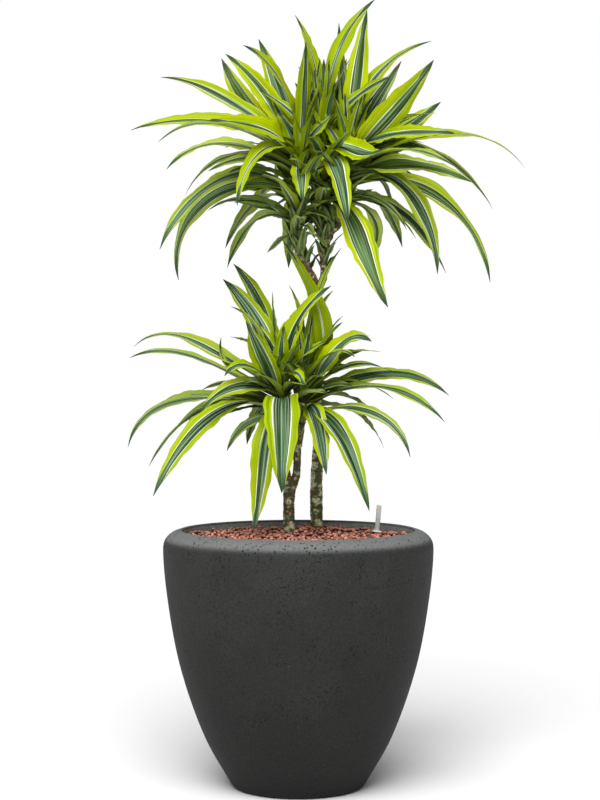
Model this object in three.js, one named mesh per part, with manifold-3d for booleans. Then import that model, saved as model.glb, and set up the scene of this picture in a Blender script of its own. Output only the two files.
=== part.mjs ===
// Potted dracaena: a round planter filled with clay granules, two cut canes that
// carry five leafy shoots, and a small water gauge.
// Millimetres, +Z up, origin at the centre of the planter's underside.
// Headings are compass angles seen from above: 0 is +X, 90 is +Y, 180 is -X, 270 is -Y.
import * as THREE from 'three';
import { mergeVertices } from 'three/addons/utils/BufferGeometryUtils.js';
import Module from 'manifold-3d';

const wasm = await Module();
wasm.setup();

// ---------------------------------------------------------------- driving dimensions

const GAP = 0.35; // air left between pieces that touch
const ROUND_SIDES = 44; // facets round the planter and the granule bed

// The planter, as radius and height.
const POT_FOOT = 105.6; // radius of the underside, before its edge is rounded
const POT_FOOT_ROUND = 8; // how far the foot's rounding reaches from that edge
const POT_WALL = [[149.6, 78.7], [189.6, 194], [210.4, 309], [216, 374], [215.2, 388]];
const POT_RIM = [[211.5, 396.5], [202, 405], [190, 409.5], [186.5, 407.5]];
const POT_INSIDE = [[185, 360], [182, 290], [158, 160], [127, 79], [92, 25]];
const POT_FLOOR = 25;
const [POT_MOUTH, POT_HEIGHT] = POT_RIM[2];

// The granule bed: a filling with a relief of granules, larger than life.
const BED_HEIGHT = 399.5; // mean level of its surface
const BED_MOUND = { x: 8, y: 92, rise: 6, spread: 55 }; // heaped a little round the canes
const GRANULE_GRID = 15.5; // spacing of the relief's points; a granule stands on every third
const GRANULE_CREST = [2, 5]; // lowest and highest granule top, above the mean level
const GRANULE_HOLLOW = [-4.5, -2]; // the hollows between them
const GRANULE_SHIFT = 2.6; // how far a point strays from the grid
const BED_SPARE = 20; // cut above the rim, so that the relief alone shapes the top
const BED_SEED = 27;

// The canes. A centre line point is x, y, z and the radius there, from the buried end up.
const CANE_SIDES = 8;
const CANE_BURIED = 285; // height of the buried ends
const CANE_HOLE = 11.2; // radius of the plain hole in the granules
const SCAR_SPACING = 36; // distance between the ring scars
const SCAR_RISE = 0.6; // how far a scar stands proud
const SCAR_HALF = 1.6; // half its height
const SCAR_ENDS = [12, 20]; // bare lengths above the rim's level and below the fork
const TRUNK_STEP = 40; // mm of a trunk between plain rings of points
const LIMB_STEP = 15; // the same for the arms

const SHORT_CANE = {
  trunk: [
    [-15.2, 70, CANE_BURIED, 9.6], [-15.2, 70, 400, 9.6], [-15.4, 70, 452, 9.4],
    [-13.2, 70, 480, 10.2], [-11.5, 70, 489, 7.5],
  ],
  limbs: [
    [[-13.5, 70, 474, 7], [-18.6, 69, 498, 5.2], [-19.6, 67, 535, 4.6], [-22.9, 65.8, 564, 5],
      [-24, 66, 575, 5.6]],
    [[-9.5, 70, 472, 7], [-3.4, 71, 494, 6.6], [-1, 73, 535, 6], [3.7, 73.7, 564, 6],
      [4.5, 74, 575, 6.2]],
    [[-19, 68, 507, 3.4], [-13.5, 66.5, 513, 2.6]],
  ],
};
const TALL_CANE = {
  trunk: [
    [30.4, 112, CANE_BURIED, 9.8], [30.4, 112, 407, 9.8], [30, 112, 436, 10.6], [30.2, 112, 486, 10],
    [35, 111, 567, 9.8], [30.4, 110, 618, 9.4], [33, 109, 699, 8.4], [28.8, 109, 741, 7.4],
    [28.6, 108, 786, 7.2], [32, 108, 806, 8.2], [33, 108, 813, 5.5],
  ],
  limbs: [
    [[32, 108, 800, 6.6], [24, 106, 819, 5.8], [9.6, 102, 840, 5.2], [-0.6, 98.6, 858, 5],
      [-2.8, 97.9, 869, 5], [-2.4, 98, 880, 5.6]],
    [[33, 108, 798, 6.8], [41.5, 110, 818, 6], [42, 112, 846, 5.8], [46, 112, 874, 6], [47, 111, 882, 4.4]],
    [[45, 112, 868, 5], [38, 115.5, 889, 4.6], [35.5, 117.6, 904, 4.8], [36, 118, 915, 5.4]],
    [[45.5, 112, 870, 5], [53, 109, 891, 4.8], [65, 104, 901, 4.8], [69.6, 102.4, 913, 5],
      [71, 102, 924, 5.4]],
  ],
};

// The leaf: shares of its own width or length unless a unit is given.
const LEAF_THICK = [2.2, 1]; // mm at the midrib, at the base and at the tip
const LEAF_ROOT = 5; // mm from the stem's axis to the root
const LEAF_BASE_WIDTH = 0.2; // narrow where it leaves the stem
const LEAF_WIDEST = 0.42; // place of the full width
const LEAF_TAPER = 2.6; // power of the narrowing toward the tip
const LEAF_TIP_WIDTH = 1.4; // mm
const LEAF_FOLD = [0.6, 0.12]; // slope of the two halves, at the base and at the tip
const LEAF_ROLL_IN = 1 / 3; // share of the length over which the roll comes in
const LEAF_WAVES = 2.5; // waves of the edge along the leaf
const LEAF_WAVE_HEIGHT = 0.045;
const LEAF_WAVE_SHIFT = 2.2; // radians between the waves of the two edges
const LEAF_STEP = 45; // mm of length to a segment
const LEAF_SEGMENTS = [5, 9]; // fewest and most segments

// The leaves on a shoot's far side turn by the golden angle inside a sector, from the
// lowest to the highest. Ranges run from the lowest leaf to the highest.
const GOLDEN_ANGLE = 137.5;
const FAR_UP = [0.15, 0.85]; // share of the shoot's height
const FAR_SHARE = [1, 0.7]; // share of the drawn reach
const FAR_RISE = [-0.45, 0.75]; // rise of the tip as a share of the reach
const FAR_LANDING = [-70, 20]; // slope at the tip

// The shoots. foot and crest are the ends of the stem that carries the leaves, thick its
// radius at the foot and at the crest. A leaf is one row: height up the shoot, heading of
// its tip, reach in plan, rise of the tip, slope where it leaves the stem, slope at the tip
// (90 is straight up, below 0 points down), full width, and roll of the blade about its
// midrib. far is the rule's count, middle heading and sector, ranges and width.
const SHOOT_NECK = 0.8; // radius at the very foot, as a share of the thickness above it
const SHOOT_BUD = 12; // mm of pointed bud above the crest
const SHOOT_BUD_TIP = 0.8; // its radius at the very top
const SHOOT_SHOULDER = 0.75; // share of the height where the stem is thickest
const SHOOTS = [
  {
    name: 'lower_left_shoot', foot: [-24, 66, 575], crest: [-36, 68, 690], thick: [7.5, 3.5], seed: 11,
    leaves: [
      [60, 165, 249, 68, 25, -42, 32, -28],
      [44, 192, 243, 65, 23, -26, 32, -28],
      [50, 170, 94, 93, 20, 105, 18, -45],
      [46, 225, 120, 34, 54, -50, 32, -44],
      [38, 222, 165, -13, 42, -42, 38, -36],
      [65, 140, 120, 177, 82, 34, 46, -40],
      [75, 118, 165, 197, 86, 26, 32, -42],
      [58, 200, 79, 134, 74, 15, 22, -45],
      [44, 240, 104, 123, 58, 45, 32, 25],
      [53, 158, 50, 104, 55, 95, 24, -40],
      [81, 120, 15, 138, 84, 92, 28, 50],
      [65, 350, 80, 161, 92, 30, 44, 58],
      [18, 270, 132, -121, 56, -84, 62, 2],
      [21, 245, 102, -186, 0, -62, 42, -22],
      [16, 211, 231, -125, 34, -64, 44, -30],
      [27, 160, 234, -100, 24, -62, 33, -40],
      [33, 194, 248, -67, 8, -77, 34, -24],
      [33, 169, 241, -30, 12, -46, 31, -24],
      [8, 215, 104, -48, 15, -66, 24, -30],
      [49, 145, 162, 5, 22, -25, 28, -35],
      [60, 310, 54, 3, 88, -84, 28, 24],
    ],
    far: { count: 6, middle: 108, sector: 84, reach: [120, 190], launch: [35, 60], width: 34 },
  },
  {
    name: 'lower_right_shoot', foot: [4.5, 74, 575], crest: [14, 78, 700], thick: [7.5, 3.5], seed: 23,
    leaves: [
      [73, 180, 20, 155, 95, 60, 22, -35],
      [70, 15, 44, 150, 85, 40, 24, 40],
      [49, 180, 29, 253, 138, 54, 36, -55],
      [57, 20, 61, 234, 88, 50, 20, 35],
      [65, 330, 68, 112, 62, 35, 24, 35],
      [65, 270, 9, 100, 88, 80, 26, 40],
      [45, 325, 128, 90, 54, -34, 46, 62],
      [65, 305, 134, 45, 52, -30, 28, 20],
      [45, 335, 130, 51, 48, -14, 28, 30],
      [37, 8, 240, 10, 31, -42, 38, 44],
      [25, 340, 237, -19, 36, -49, 34, 26],
      [12, 331, 192, -61, 22, -76, 28, 30],
      [25, 306, 173, -156, 4, -66, 42, 14],
      [24, 289, 112, -100, 30, -62, 38, 6],
    ],
    far: { count: 6, middle: 11, sector: 34, reach: [130, 210], launch: [35, 60], width: 34 },
  },
  {
    name: 'upper_left_shoot', foot: [-2.4, 98, 880], crest: [4, 100, 1055], thick: [7.5, 3.5], seed: 37,
    leaves: [
      [124, 172, 281, 61, 50, -18, 36, -45],
      [120, 225, 197, 57, 66, -4, 44, -52],
      [127, 190, 229, 28, 37, -45, 36, -22],
      [110, 208, 234, -7, 31, -50, 38, -24],
      [152, 160, 247, 129, 34, 4, 32, -48],
      [142, 130, 196, 190, 60, 30, 38, -55],
      [132, 125, 235, 200, 33, 55, 52, -26],
      [157, 218, 112, 150, 84, 12, 40, -60],
      [142, 115, 165, 216, 56, 48, 40, -18],
      [112, 228, 143, -66, 68, -85, 34, -20],
      [66, 200, 232, -88, 51, -69, 42, -34],
      [56, 182, 192, -124, 44, -103, 40, -46],
      [77, 145, 192, 9, 24, -15, 38, -64],
      [100, 218, 178, 0, 34, -30, 30, -30],
      [34, 148, 176, 21, 27, -33, 28, -42],
      [19, 215, 76, 8, 46, -33, 22, -30],
      [4, 195, 46, -27, 12, -42, 16, -30],
      [52, 100, 88, -94, 40, -85, 34, 10],
      [102, 275, 50, -43, 66, -84, 35, 4],
      [110, 310, 29, 33, 80, -40, 22, 14],
      [130, 300, 15, 192, 84, 88, 36, 4],
      [96, 158, 203, -16, 54, -62, 30, -36],
    ],
    far: { count: 6, middle: 128, sector: 50, reach: [150, 220], launch: [45, 70], width: 36 },
  },
  {
    name: 'upper_centre_shoot', foot: [36, 118, 915], crest: [44, 124, 1095], thick: [7.5, 3.5], seed: 41,
    leaves: [
      [156, 205, 49, 179, 88, 55, 36, -60],
      [156, 8, 81, 212, 92, 42, 38, 50],
      [148, 315, 146, 72, 42, 10, 30, 72],
      [113, 306, 152, -12, 26, 20, 50, 44],
      [82, 286, 138, -97, 42, -62, 44, 4],
      [28, 303, 186, -180, 8, -45, 54, 12],
      [150, 120, 40, 150, 84, 80, 34, 30],
      [140, 60, 50, 165, 80, 75, 34, -40],
      [130, 285, 30, 130, 84, 78, 30, 40],
      [120, 30, 40, 150, 84, 80, 30, 30],
    ],
    far: { count: 7, middle: 80, sector: 44, reach: [140, 220], launch: [45, 70], width: 38 },
  },
  {
    name: 'upper_right_shoot', foot: [71, 102, 924], crest: [86, 98, 1045], thick: [7.5, 3.5], seed: 53,
    leaves: [
      [104, 110, 42, 217, 84, 88, 30, 16],
      [104, 10, 25, 231, 88, 80, 44, 52],
      [104, 2, 131, 180, 92, 14, 30, 42],
      [96, 45, 125, 170, 70, 52, 36, 24],
      [92, 330, 151, 147, 42, 50, 50, -46],
      [88, 25, 170, 106, 26, 38, 44, 58],
      [80, 12, 302, 2, 27, -52, 31, 24],
      [100, 335, 180, 22, 34, -6, 38, 54],
      [40, 338, 156, -144, 42, -90, 40, 40],
      [40, 14, 250, -152, 25, -82, 42, 54],
      [75, 20, 261, -60, 47, -58, 36, 40],
      [70, 320, 212, -9, 28, -34, 30, 20],
      [63, 328, 226, -25, 14, -28, 40, 50],
      [14, 30, 202, -108, 22, -62, 36, 58],
      [25, 340, 47, 12, 15, 15, 16, 40],
      [22, 335, 108, -53, 22, -62, 16, 35],
      [14, 335, 21, -95, 6, -166, 26, 30],
      [55, 50, 127, -48, 45, -76, 32, 20],
    ],
    far: { count: 6, middle: 30, sector: 48, reach: [150, 230], launch: [40, 65], width: 36 },
  },
];

// The water gauge: a clear tube with a float rod inside, leaning a little to the right.
const GAUGE_FOOT = [128, 53, 400]; // where it leaves the granules
const GAUGE_LEAN = 5; // degrees
const GAUGE_STANDS = 45; // height above the granules
const GAUGE_DEPTH = 150; // length below them
const GAUGE_TUBE = { outer: 4, bore: 2.7 };
const GAUGE_ROD_TOP = 7.5; // top of the red head above the granules
const GAUGE_PLATE = { radius: 8, thick: 2.2, above: 1.2 };
const GAUGE_CLEAR = [0.5, 0.7]; // air round the tube in its hole, and round the plate's seat
const GAUGE_SIDES = 16;

// ---------------------------------------------------------------- small helpers

// A repeatable stream of numbers from 0 to 1.
function seeded(seed) {
  let state = seed;
  return () => {
    state = (state * 16807) % 2147483647;
    return (state - 1) / 2147483646;
  };
}

const radians = (degrees) => (degrees * Math.PI) / 180;
const between = (range, share) => range[0] + (range[1] - range[0]) * share;
const vector = (point) => new THREE.Vector3(point[0], point[1], point[2]);

// A geometry's faces as a solid, its shared corners merged.
function solidOf(geometry) {
  const bare = geometry.clone();
  bare.deleteAttribute('normal');
  bare.deleteAttribute('uv');
  const merged = mergeVertices(bare, 1e-4);
  const corners = merged.index.array;
  const kept = [];
  for (let i = 0; i < corners.length; i += 3) {
    const [a, b, c] = [corners[i], corners[i + 1], corners[i + 2]];
    if (a !== b && b !== c && c !== a) kept.push(a, b, c);
  }
  return new wasm.Manifold(new wasm.Mesh({
    numProp: 3,
    vertProperties: new Float32Array(merged.attributes.position.array),
    triVerts: new Uint32Array(kept),
  }));
}

function geometryOf(solid) {
  const { vertProperties, triVerts } = solid.getMesh();
  const geometry = new THREE.BufferGeometry();
  geometry.setAttribute('position', new THREE.BufferAttribute(new Float32Array(vertProperties), 3));
  geometry.setIndex(new THREE.BufferAttribute(new Uint32Array(triVerts), 1));
  const flat = geometry.toNonIndexed();
  flat.computeVertexNormals();
  return flat;
}

// Joins solids into one body: sealed hollows are filled and loose scraps are dropped.
function fuse(solids) {
  const joined = solids.reduce((sum, solid) => sum.add(solid));
  const bodies = joined.decompose();
  return bodies.reduce((best, body) => (body.volume() > best.volume() ? body : best));
}

// A closed skin over rings of points that run counter-clockwise about the way they go.
// flipped(k) says which side quads are cut along their other diagonal.
function loft(rings, caps, flipped = () => false) {
  const count = rings[0].length;
  const points = rings.flat();
  const index = [];
  for (let i = 0; i < rings.length - 1; i += 1) {
    for (let k = 0; k < count; k += 1) {
      const a = i * count + k;
      const b = i * count + ((k + 1) % count);
      const [c, d] = [a + count, b + count];
      if (flipped(k)) index.push(a, b, d, a, d, c);
      else index.push(a, b, c, b, d, c);
    }
  }
  const last = (rings.length - 1) * count;
  for (const [a, b, c] of caps) {
    index.push(c, b, a);
    index.push(last + a, last + b, last + c);
  }
  const geometry = new THREE.BufferGeometry().setFromPoints(points);
  geometry.setIndex(index);
  return geometry;
}

// Cap triangles that fan out from a ring's first point.
const fan = (count) => Array.from({ length: count - 2 }, (_, k) => [0, k + 1, k + 2]);

function lathe(profile, sides = ROUND_SIDES) {
  const outline = profile.map(([radius, height]) => new THREE.Vector2(radius, height));
  return new THREE.LatheGeometry(outline, sides).rotateX(Math.PI / 2);
}

function mesh(name, geometry, color, roughness, metalness = 0) {
  const material = new THREE.MeshStandardMaterial({ color, roughness, metalness });
  const piece = new THREE.Mesh(geometry, material);
  piece.name = name;
  return piece;
}

// ---------------------------------------------------------------- planter and granules

function planterProfile() {
  const [firstRadius, firstHeight] = POT_WALL[0];
  const slope = new THREE.Vector2(firstRadius - POT_FOOT, firstHeight).normalize();
  const foot = new THREE.QuadraticBezierCurve(
    new THREE.Vector2(POT_FOOT - POT_FOOT_ROUND, 0),
    new THREE.Vector2(POT_FOOT, 0),
    new THREE.Vector2(POT_FOOT + POT_FOOT_ROUND * slope.x, POT_FOOT_ROUND * slope.y),
  ).getPoints(2);
  const wall = new THREE.SplineCurve([foot[2], ...POT_WALL.map(([r, h]) => new THREE.Vector2(r, h))]);
  const outside = [...foot, ...wall.getPoints(6).slice(1)].map((point) => [point.x, point.y]);
  return [[0, 0], ...outside, ...POT_RIM, ...POT_INSIDE, [0, POT_FLOOR]];
}

function bedSurface(x, y) {
  const { rise, spread } = BED_MOUND;
  const distance = Math.hypot(x - BED_MOUND.x, y - BED_MOUND.y);
  return BED_HEIGHT + rise * Math.exp(-((distance / spread) ** 2));
}

// A block with the granules' relief on top, wider than the pot.
function granuleBlock() {
  const random = seeded(BED_SEED);
  const half = POT_MOUTH + GRANULE_GRID;
  const rowStep = (GRANULE_GRID * Math.sqrt(3)) / 2;
  const columns = Math.ceil((2 * half) / GRANULE_GRID);
  const rows = Math.ceil((2 * half) / rowStep);
  const top = [];
  for (let row = 0; row <= rows; row += 1) {
    for (let column = 0; column <= columns; column += 1) {
      const diagonal = column - Math.floor(row / 2) - row;
      const isGranule = ((diagonal % 3) + 3) % 3 === 0;
      const x = (column + (row % 2) / 2) * GRANULE_GRID - half + (random() - 0.5) * 2 * GRANULE_SHIFT;
      const y = row * rowStep - half + (random() - 0.5) * 2 * GRANULE_SHIFT;
      const offset = between(isGranule ? GRANULE_CREST : GRANULE_HOLLOW, random());
      top.push(new THREE.Vector3(x, y, bedSurface(x, y) + offset));
    }
  }
  const bottom = top.map((point) => new THREE.Vector3(point.x, point.y, 0));
  const stride = columns + 1;
  const index = [];
  const face = (a, b, c) => {
    index.push(a, b, c);
    index.push(c + top.length, b + top.length, a + top.length);
  };
  const wall = (a, b) => index.push(b, a, a + top.length, b, a + top.length, b + top.length);
  for (let row = 0; row < rows; row += 1) {
    for (let column = 0; column < columns; column += 1) {
      const a = row * stride + column;
      const [b, c, d] = [a + 1, a + stride, a + stride + 1];
      if (row % 2) {
        face(a, b, d);
        face(a, d, c);
      } else {
        face(a, b, c);
        face(b, d, c);
      }
    }
    wall((row + 1) * stride, row * stride);
    wall(row * stride + columns, (row + 1) * stride + columns);
  }
  for (let column = 0; column < columns; column += 1) {
    wall(column, column + 1);
    wall(rows * stride + column + 1, rows * stride + column);
  }
  const geometry = new THREE.BufferGeometry().setFromPoints([...top, ...bottom]);
  geometry.setIndex(index);
  return geometry;
}

// An upright cylinder between two heights.
function pillar(x, y, low, high, radius, sides = 20) {
  const geometry = new THREE.CylinderGeometry(radius, radius, high - low, sides);
  return geometry.rotateX(Math.PI / 2).translate(x, y, (low + high) / 2);
}

function granuleBed() {
  const inside = [...POT_INSIDE].reverse().map(([radius, height]) => [radius - GAP, height + GAP]);
  const brim = POT_INSIDE[0][0] - GAP;
  const above = POT_HEIGHT + BED_SPARE;
  const filling = solidOf(lathe([[0, POT_FLOOR + GAP], ...inside, [brim, POT_HEIGHT], [0, above]]));
  let bed = filling.intersect(solidOf(granuleBlock()));
  for (const { trunk } of [SHORT_CANE, TALL_CANE]) {
    const [x, y] = trunk[0];
    bed = bed.subtract(solidOf(pillar(x, y, CANE_BURIED - GAP, above + GAP, CANE_HOLE)));
  }
  const hole = (low, radius) => solidOf(leaning(pillar(0, 0, low, GAUGE_STANDS, radius, GAUGE_SIDES)));
  const shaft = hole(-GAUGE_DEPTH - GAP, GAUGE_TUBE.outer + GAUGE_CLEAR[0]);
  const seat = hole(GAUGE_PLATE.above - GAP, GAUGE_PLATE.radius + GAUGE_CLEAR[1]);
  return fuse([bed.subtract(shaft).subtract(seat)]);
}

// ---------------------------------------------------------------- water gauge

// Stands a piece that was made round the Z axis where the gauge is.
function leaning(geometry) {
  return geometry.rotateY(radians(GAUGE_LEAN)).translate(...GAUGE_FOOT);
}

function gaugeTube() {
  const { outer, bore } = GAUGE_TUBE;
  const [low, high] = [-GAUGE_DEPTH, GAUGE_STANDS];
  const wall = outer - bore;
  return leaning(lathe([
    [0, high - wall], [bore, high - wall - 1], [bore, low], [outer, low],
    [outer, high - 2.4], [outer * 0.72, high - 0.7], [0, high],
  ], GAUGE_SIDES));
}

function gaugeFloat() {
  const radius = GAUGE_TUBE.bore - GAP;
  return leaning(lathe([
    [0, -GAUGE_DEPTH], [radius, -GAUGE_DEPTH], [radius, GAUGE_ROD_TOP - 1.4],
    [radius * 0.6, GAUGE_ROD_TOP - 0.3], [0, GAUGE_ROD_TOP],
  ], GAUGE_SIDES));
}

function gaugePlate() {
  const { radius, thick, above } = GAUGE_PLATE;
  const inner = GAUGE_TUBE.outer + GAP;
  return leaning(lathe([
    [inner, above], [radius, above], [radius, above + thick * 0.4],
    [inner + 1.2, above + thick], [inner, above + thick], [inner, above],
  ], GAUGE_SIDES));
}

// ---------------------------------------------------------------- canes

// A round stem along its centre line points, each [x, y, z, radius].
// scars is the stretch that has ring scars, as lengths from its lower end.
function stem(points, step, scars = null) {
  const line = new THREE.CatmullRomCurve3(points.map(vector));
  const radii = points.map((point) => point[3]);
  const length = line.getLength();
  const cuts = Math.max(2, Math.round(length / step));
  const places = [];
  for (let i = 0; i <= cuts; i += 1) places.push([i / cuts, 0]);
  if (scars) {
    const half = SCAR_HALF / length;
    const [from, to] = scars;
    for (let at = from; at < to; at += SCAR_SPACING) {
      const middle = at / length;
      places.push([middle - half, 0.01], [middle, SCAR_RISE], [middle + half, 0.01]);
    }
  }
  places.sort((one, other) => one[0] - other[0]);
  const spaced = places.filter(([at], i) => i === 0 || at - places[i - 1][0] > 0.6 / length);
  const rings = spaced.map(([at, proud]) => {
    const slot = line.getUtoTmapping(at) * (radii.length - 1);
    const lower = Math.min(Math.floor(slot), radii.length - 2);
    const radius = between([radii[lower], radii[lower + 1]], slot - lower) + proud;
    const way = line.getTangentAt(at);
    const side = new THREE.Vector3(0, 1, 0).cross(way).normalize();
    const back = way.clone().cross(side);
    return Array.from({ length: CANE_SIDES }, (_, k) => {
      const angle = (2 * Math.PI * k) / CANE_SIDES;
      return line.getPointAt(at)
        .addScaledVector(side, Math.cos(angle) * radius)
        .addScaledVector(back, Math.sin(angle) * radius);
    });
  });
  return solidOf(loft(rings, fan(CANE_SIDES)));
}

function cane({ trunk, limbs }) {
  const rim = POT_HEIGHT - CANE_BURIED;
  const top = trunk[trunk.length - 1][2] - CANE_BURIED;
  const bare = stem(trunk, TRUNK_STEP, [rim + SCAR_ENDS[0], top - SCAR_ENDS[1]]);
  return fuse([bare, ...limbs.map((limb) => stem(limb, LIMB_STEP))]);
}

// ---------------------------------------------------------------- leaves and shoots

// The midrib: an arc-like curve in the upright plane of its heading.
function midrib(root, [, heading, reach, rise, launch, landing]) {
  const out = new THREE.Vector3(Math.cos(radians(heading)), Math.sin(radians(heading)), 0);
  const up = new THREE.Vector3(0, 0, 1);
  const tip = root.clone().addScaledVector(out, reach).addScaledVector(up, rise);
  const turn = radians(Math.max(Math.abs(launch - landing), 1));
  const handle = (Math.hypot(reach, rise) * Math.tan(turn / 4)) / (1.5 * Math.sin(turn / 2));
  const along = (slope, sign) => out.clone().multiplyScalar(sign * handle * Math.cos(radians(slope)))
    .addScaledVector(up, sign * handle * Math.sin(radians(slope)));
  return new THREE.CubicBezierCurve3(
    root,
    root.clone().add(along(launch, 1)),
    tip.clone().add(along(landing, -1)),
    tip,
  );
}

// Share of the full width at a place along the leaf.
function leafOutline(at) {
  const grown = Math.min(at / LEAF_WIDEST, 1);
  const opening = LEAF_BASE_WIDTH + (1 - LEAF_BASE_WIDTH) * grown * grown * (3 - 2 * grown);
  return opening * (1 - at ** LEAF_TAPER);
}

// A blade with four corners to a section: an edge, the midrib's top, the other edge and the
// midrib's underside. Both faces are cut into like triangles.
function leafSolid(root, row, phase) {
  const [, heading, , , , , width, roll] = row;
  const line = midrib(root, row);
  const across = new THREE.Vector3(-Math.sin(radians(heading)), Math.cos(radians(heading)), 0);
  const wanted = Math.round(line.getLength() / LEAF_STEP);
  const segments = THREE.MathUtils.clamp(wanted, ...LEAF_SEGMENTS);
  const rings = [];
  for (let i = 0; i <= segments; i += 1) {
    const at = i / segments;
    const centre = line.getPointAt(at);
    const way = line.getTangentAt(at);
    const turn = radians(roll * Math.min(at / LEAF_ROLL_IN, 1));
    const above = way.clone().cross(across);
    const side = across.clone().multiplyScalar(Math.cos(turn)).addScaledVector(above, Math.sin(turn));
    const face = above.clone().multiplyScalar(Math.cos(turn)).addScaledVector(across, -Math.sin(turn));
    const half = Math.max((width / 2) * leafOutline(at), LEAF_TIP_WIDTH / 2);
    const fold = between(LEAF_FOLD, 1 - (1 - at) ** 2);
    const calm = Math.sin(Math.PI * at) * width * LEAF_WAVE_HEIGHT;
    const wave = (shift) => calm * Math.sin(2 * Math.PI * LEAF_WAVES * at + phase + shift);
    const place = (sideways, lift) => centre.clone()
      .addScaledVector(side, sideways).addScaledVector(face, lift);
    const spine = between(LEAF_THICK, at) / 2;
    rings.push([
      place(half, half * fold + wave(0)), place(0, spine),
      place(-half, half * fold + wave(LEAF_WAVE_SHIFT)), place(0, -spine),
    ]);
  }
  return solidOf(loft(rings, [[0, 1, 3], [3, 1, 2]], (k) => k >= 2));
}

// Rows for the far side of a shoot, by the golden angle inside the sector.
function farLeaves({ far, foot, crest }, random) {
  const rows = [];
  const height = crest[2] - foot[2];
  for (let k = 0; k < far.count; k += 1) {
    const high = k / far.count;
    const heading = far.middle - far.sector / 2 + (((k + 1) * GOLDEN_ANGLE) % far.sector);
    const reach = between(far.reach, random()) * between(FAR_SHARE, high);
    rows.push([
      height * between(FAR_UP, high), heading, reach, reach * between(FAR_RISE, high),
      between(far.launch, high), between(FAR_LANDING, high), far.width, 0,
    ]);
  }
  return rows;
}

function shootSolids(shoot) {
  const random = seeded(shoot.seed);
  const [foot, crest] = [vector(shoot.foot), vector(shoot.crest)];
  const way = crest.clone().sub(foot).normalize();
  foot.addScaledVector(way, GAP);
  const [low, high] = shoot.thick;
  const shoulder = foot.clone().lerp(crest, SHOOT_SHOULDER);
  const bud = crest.clone().addScaledVector(way, SHOOT_BUD);
  const solids = [stem([
    [...foot, low * SHOOT_NECK], [...shoulder, low], [...crest, high], [...bud, SHOOT_BUD_TIP],
  ], TRUNK_STEP)];
  for (const row of [...shoot.leaves, ...farLeaves(shoot, random)]) {
    const heading = radians(row[1]);
    const root = foot.clone().addScaledVector(way, row[0]);
    root.x += Math.cos(heading) * LEAF_ROOT;
    root.y += Math.sin(heading) * LEAF_ROOT;
    solids.push(leafSolid(root, row, random() * 2 * Math.PI));
  }
  return solids;
}

// ---------------------------------------------------------------- the object

const plant = new THREE.Group();
plant.add(mesh('planter', lathe(planterProfile()), 0x4b4d4c, 0.85));
plant.add(mesh('clay_granules', geometryOf(granuleBed()), 0xa56958, 0.95));
plant.add(mesh('short_cane', geometryOf(cane(SHORT_CANE)), 0x5f6b40, 0.8));
plant.add(mesh('tall_cane', geometryOf(cane(TALL_CANE)), 0x645f3e, 0.8));
for (const shoot of SHOOTS) {
  plant.add(mesh(shoot.name, geometryOf(fuse(shootSolids(shoot))), 0x7fae2a, 0.5));
}
plant.add(mesh('gauge_tube', gaugeTube(), 0xdfe1e4, 0.2));
plant.add(mesh('gauge_float', gaugeFloat(), 0xb3402c, 0.5));
plant.add(mesh('gauge_plate', gaugePlate(), 0xeeeeee, 0.4));

export default plant;
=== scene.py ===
import math

import bpy
import numpy as np
from bpy.props import FloatProperty, FloatVectorProperty, IntProperty, PointerProperty
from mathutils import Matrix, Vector


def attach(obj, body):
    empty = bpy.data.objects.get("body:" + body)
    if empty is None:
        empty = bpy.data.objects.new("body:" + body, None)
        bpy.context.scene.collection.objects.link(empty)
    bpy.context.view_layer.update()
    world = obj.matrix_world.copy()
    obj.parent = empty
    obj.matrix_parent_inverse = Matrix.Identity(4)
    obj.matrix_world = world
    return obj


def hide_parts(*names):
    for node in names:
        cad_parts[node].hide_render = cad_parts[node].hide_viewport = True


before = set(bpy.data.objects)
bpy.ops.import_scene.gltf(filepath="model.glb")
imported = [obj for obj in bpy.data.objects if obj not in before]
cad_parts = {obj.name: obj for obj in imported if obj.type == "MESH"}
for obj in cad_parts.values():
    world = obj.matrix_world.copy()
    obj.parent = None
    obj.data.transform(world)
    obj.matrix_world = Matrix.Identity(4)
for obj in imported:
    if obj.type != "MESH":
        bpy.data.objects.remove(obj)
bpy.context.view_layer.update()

bl_info = {
    "name": "Potted Dracaena",
    "version": (1, 0, 0),
    "blender": (4, 5, 0),
    "location": "3D View > Sidebar > Dracaena",
    "description": "Builds a potted dracaena with its planter, granules, canes, leaves and water gauge",
    "category": "Add Mesh",
}

# The tables below are in millimetres and degrees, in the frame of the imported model: the origin
# is at the centre of the planter's underside, +Z is up and the photograph looks along +Y.
# A heading is an angle seen from above: 0 is +X, 90 is +Y, 180 is -X and 270 is -Y.
MM = 0.001

# The air that pieces which touch keep between them.
GAP = 0.35

# ------------------------------------------------------------------ planter and granules

# Radius and height of points on the planter's outline, from the foot up and down again inside.
POT_FOOT = 105.6
POT_FOOT_ROUND = 8
POT_WALL = [(149.6, 78.7), (189.6, 194), (210.4, 309), (216, 374), (215.2, 388)]
POT_RIM = [(211.5, 396.5), (202, 405), (190, 409.5)]
POT_LIP = [(187.4, 409.2), (186, 406.4), (185.6, 400)]
POT_INSIDE = [(185, 360), (182, 290), (158, 160), (127, 79), (92, 25)]
POT_FLOOR = 25
NEAR_AXIS = 0.02

# Where the planter's colour changes, in metres: heights, and the inner wall's radius.
# Painted shade: the planter darkens from the upper of these heights down to its foot.
FOOT_PAINTED_SHADE = (0.0, 0.36)
# The rim's paler band where it faces up: partly wear and partly painted sheen.
PAINTED_SHEEN_AND_WEAR_BAND = (0.387, 0.400)
# Painted light on the inner wall above the granules: its heights, and that wall's radius.
INNER_PAINTED_LIGHT_BAND = (0.386, 0.392)
INNER_PAINTED_LIGHT_RADIUS = 0.1868

# The granule bed's heap round the canes, and the closed body under the loose lumps.
BED_MOUND = {"x": 8, "y": 92, "rise": 6, "spread": 55}
FILLING_GAP = 0.4
FILLING_SIDES = 72
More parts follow.
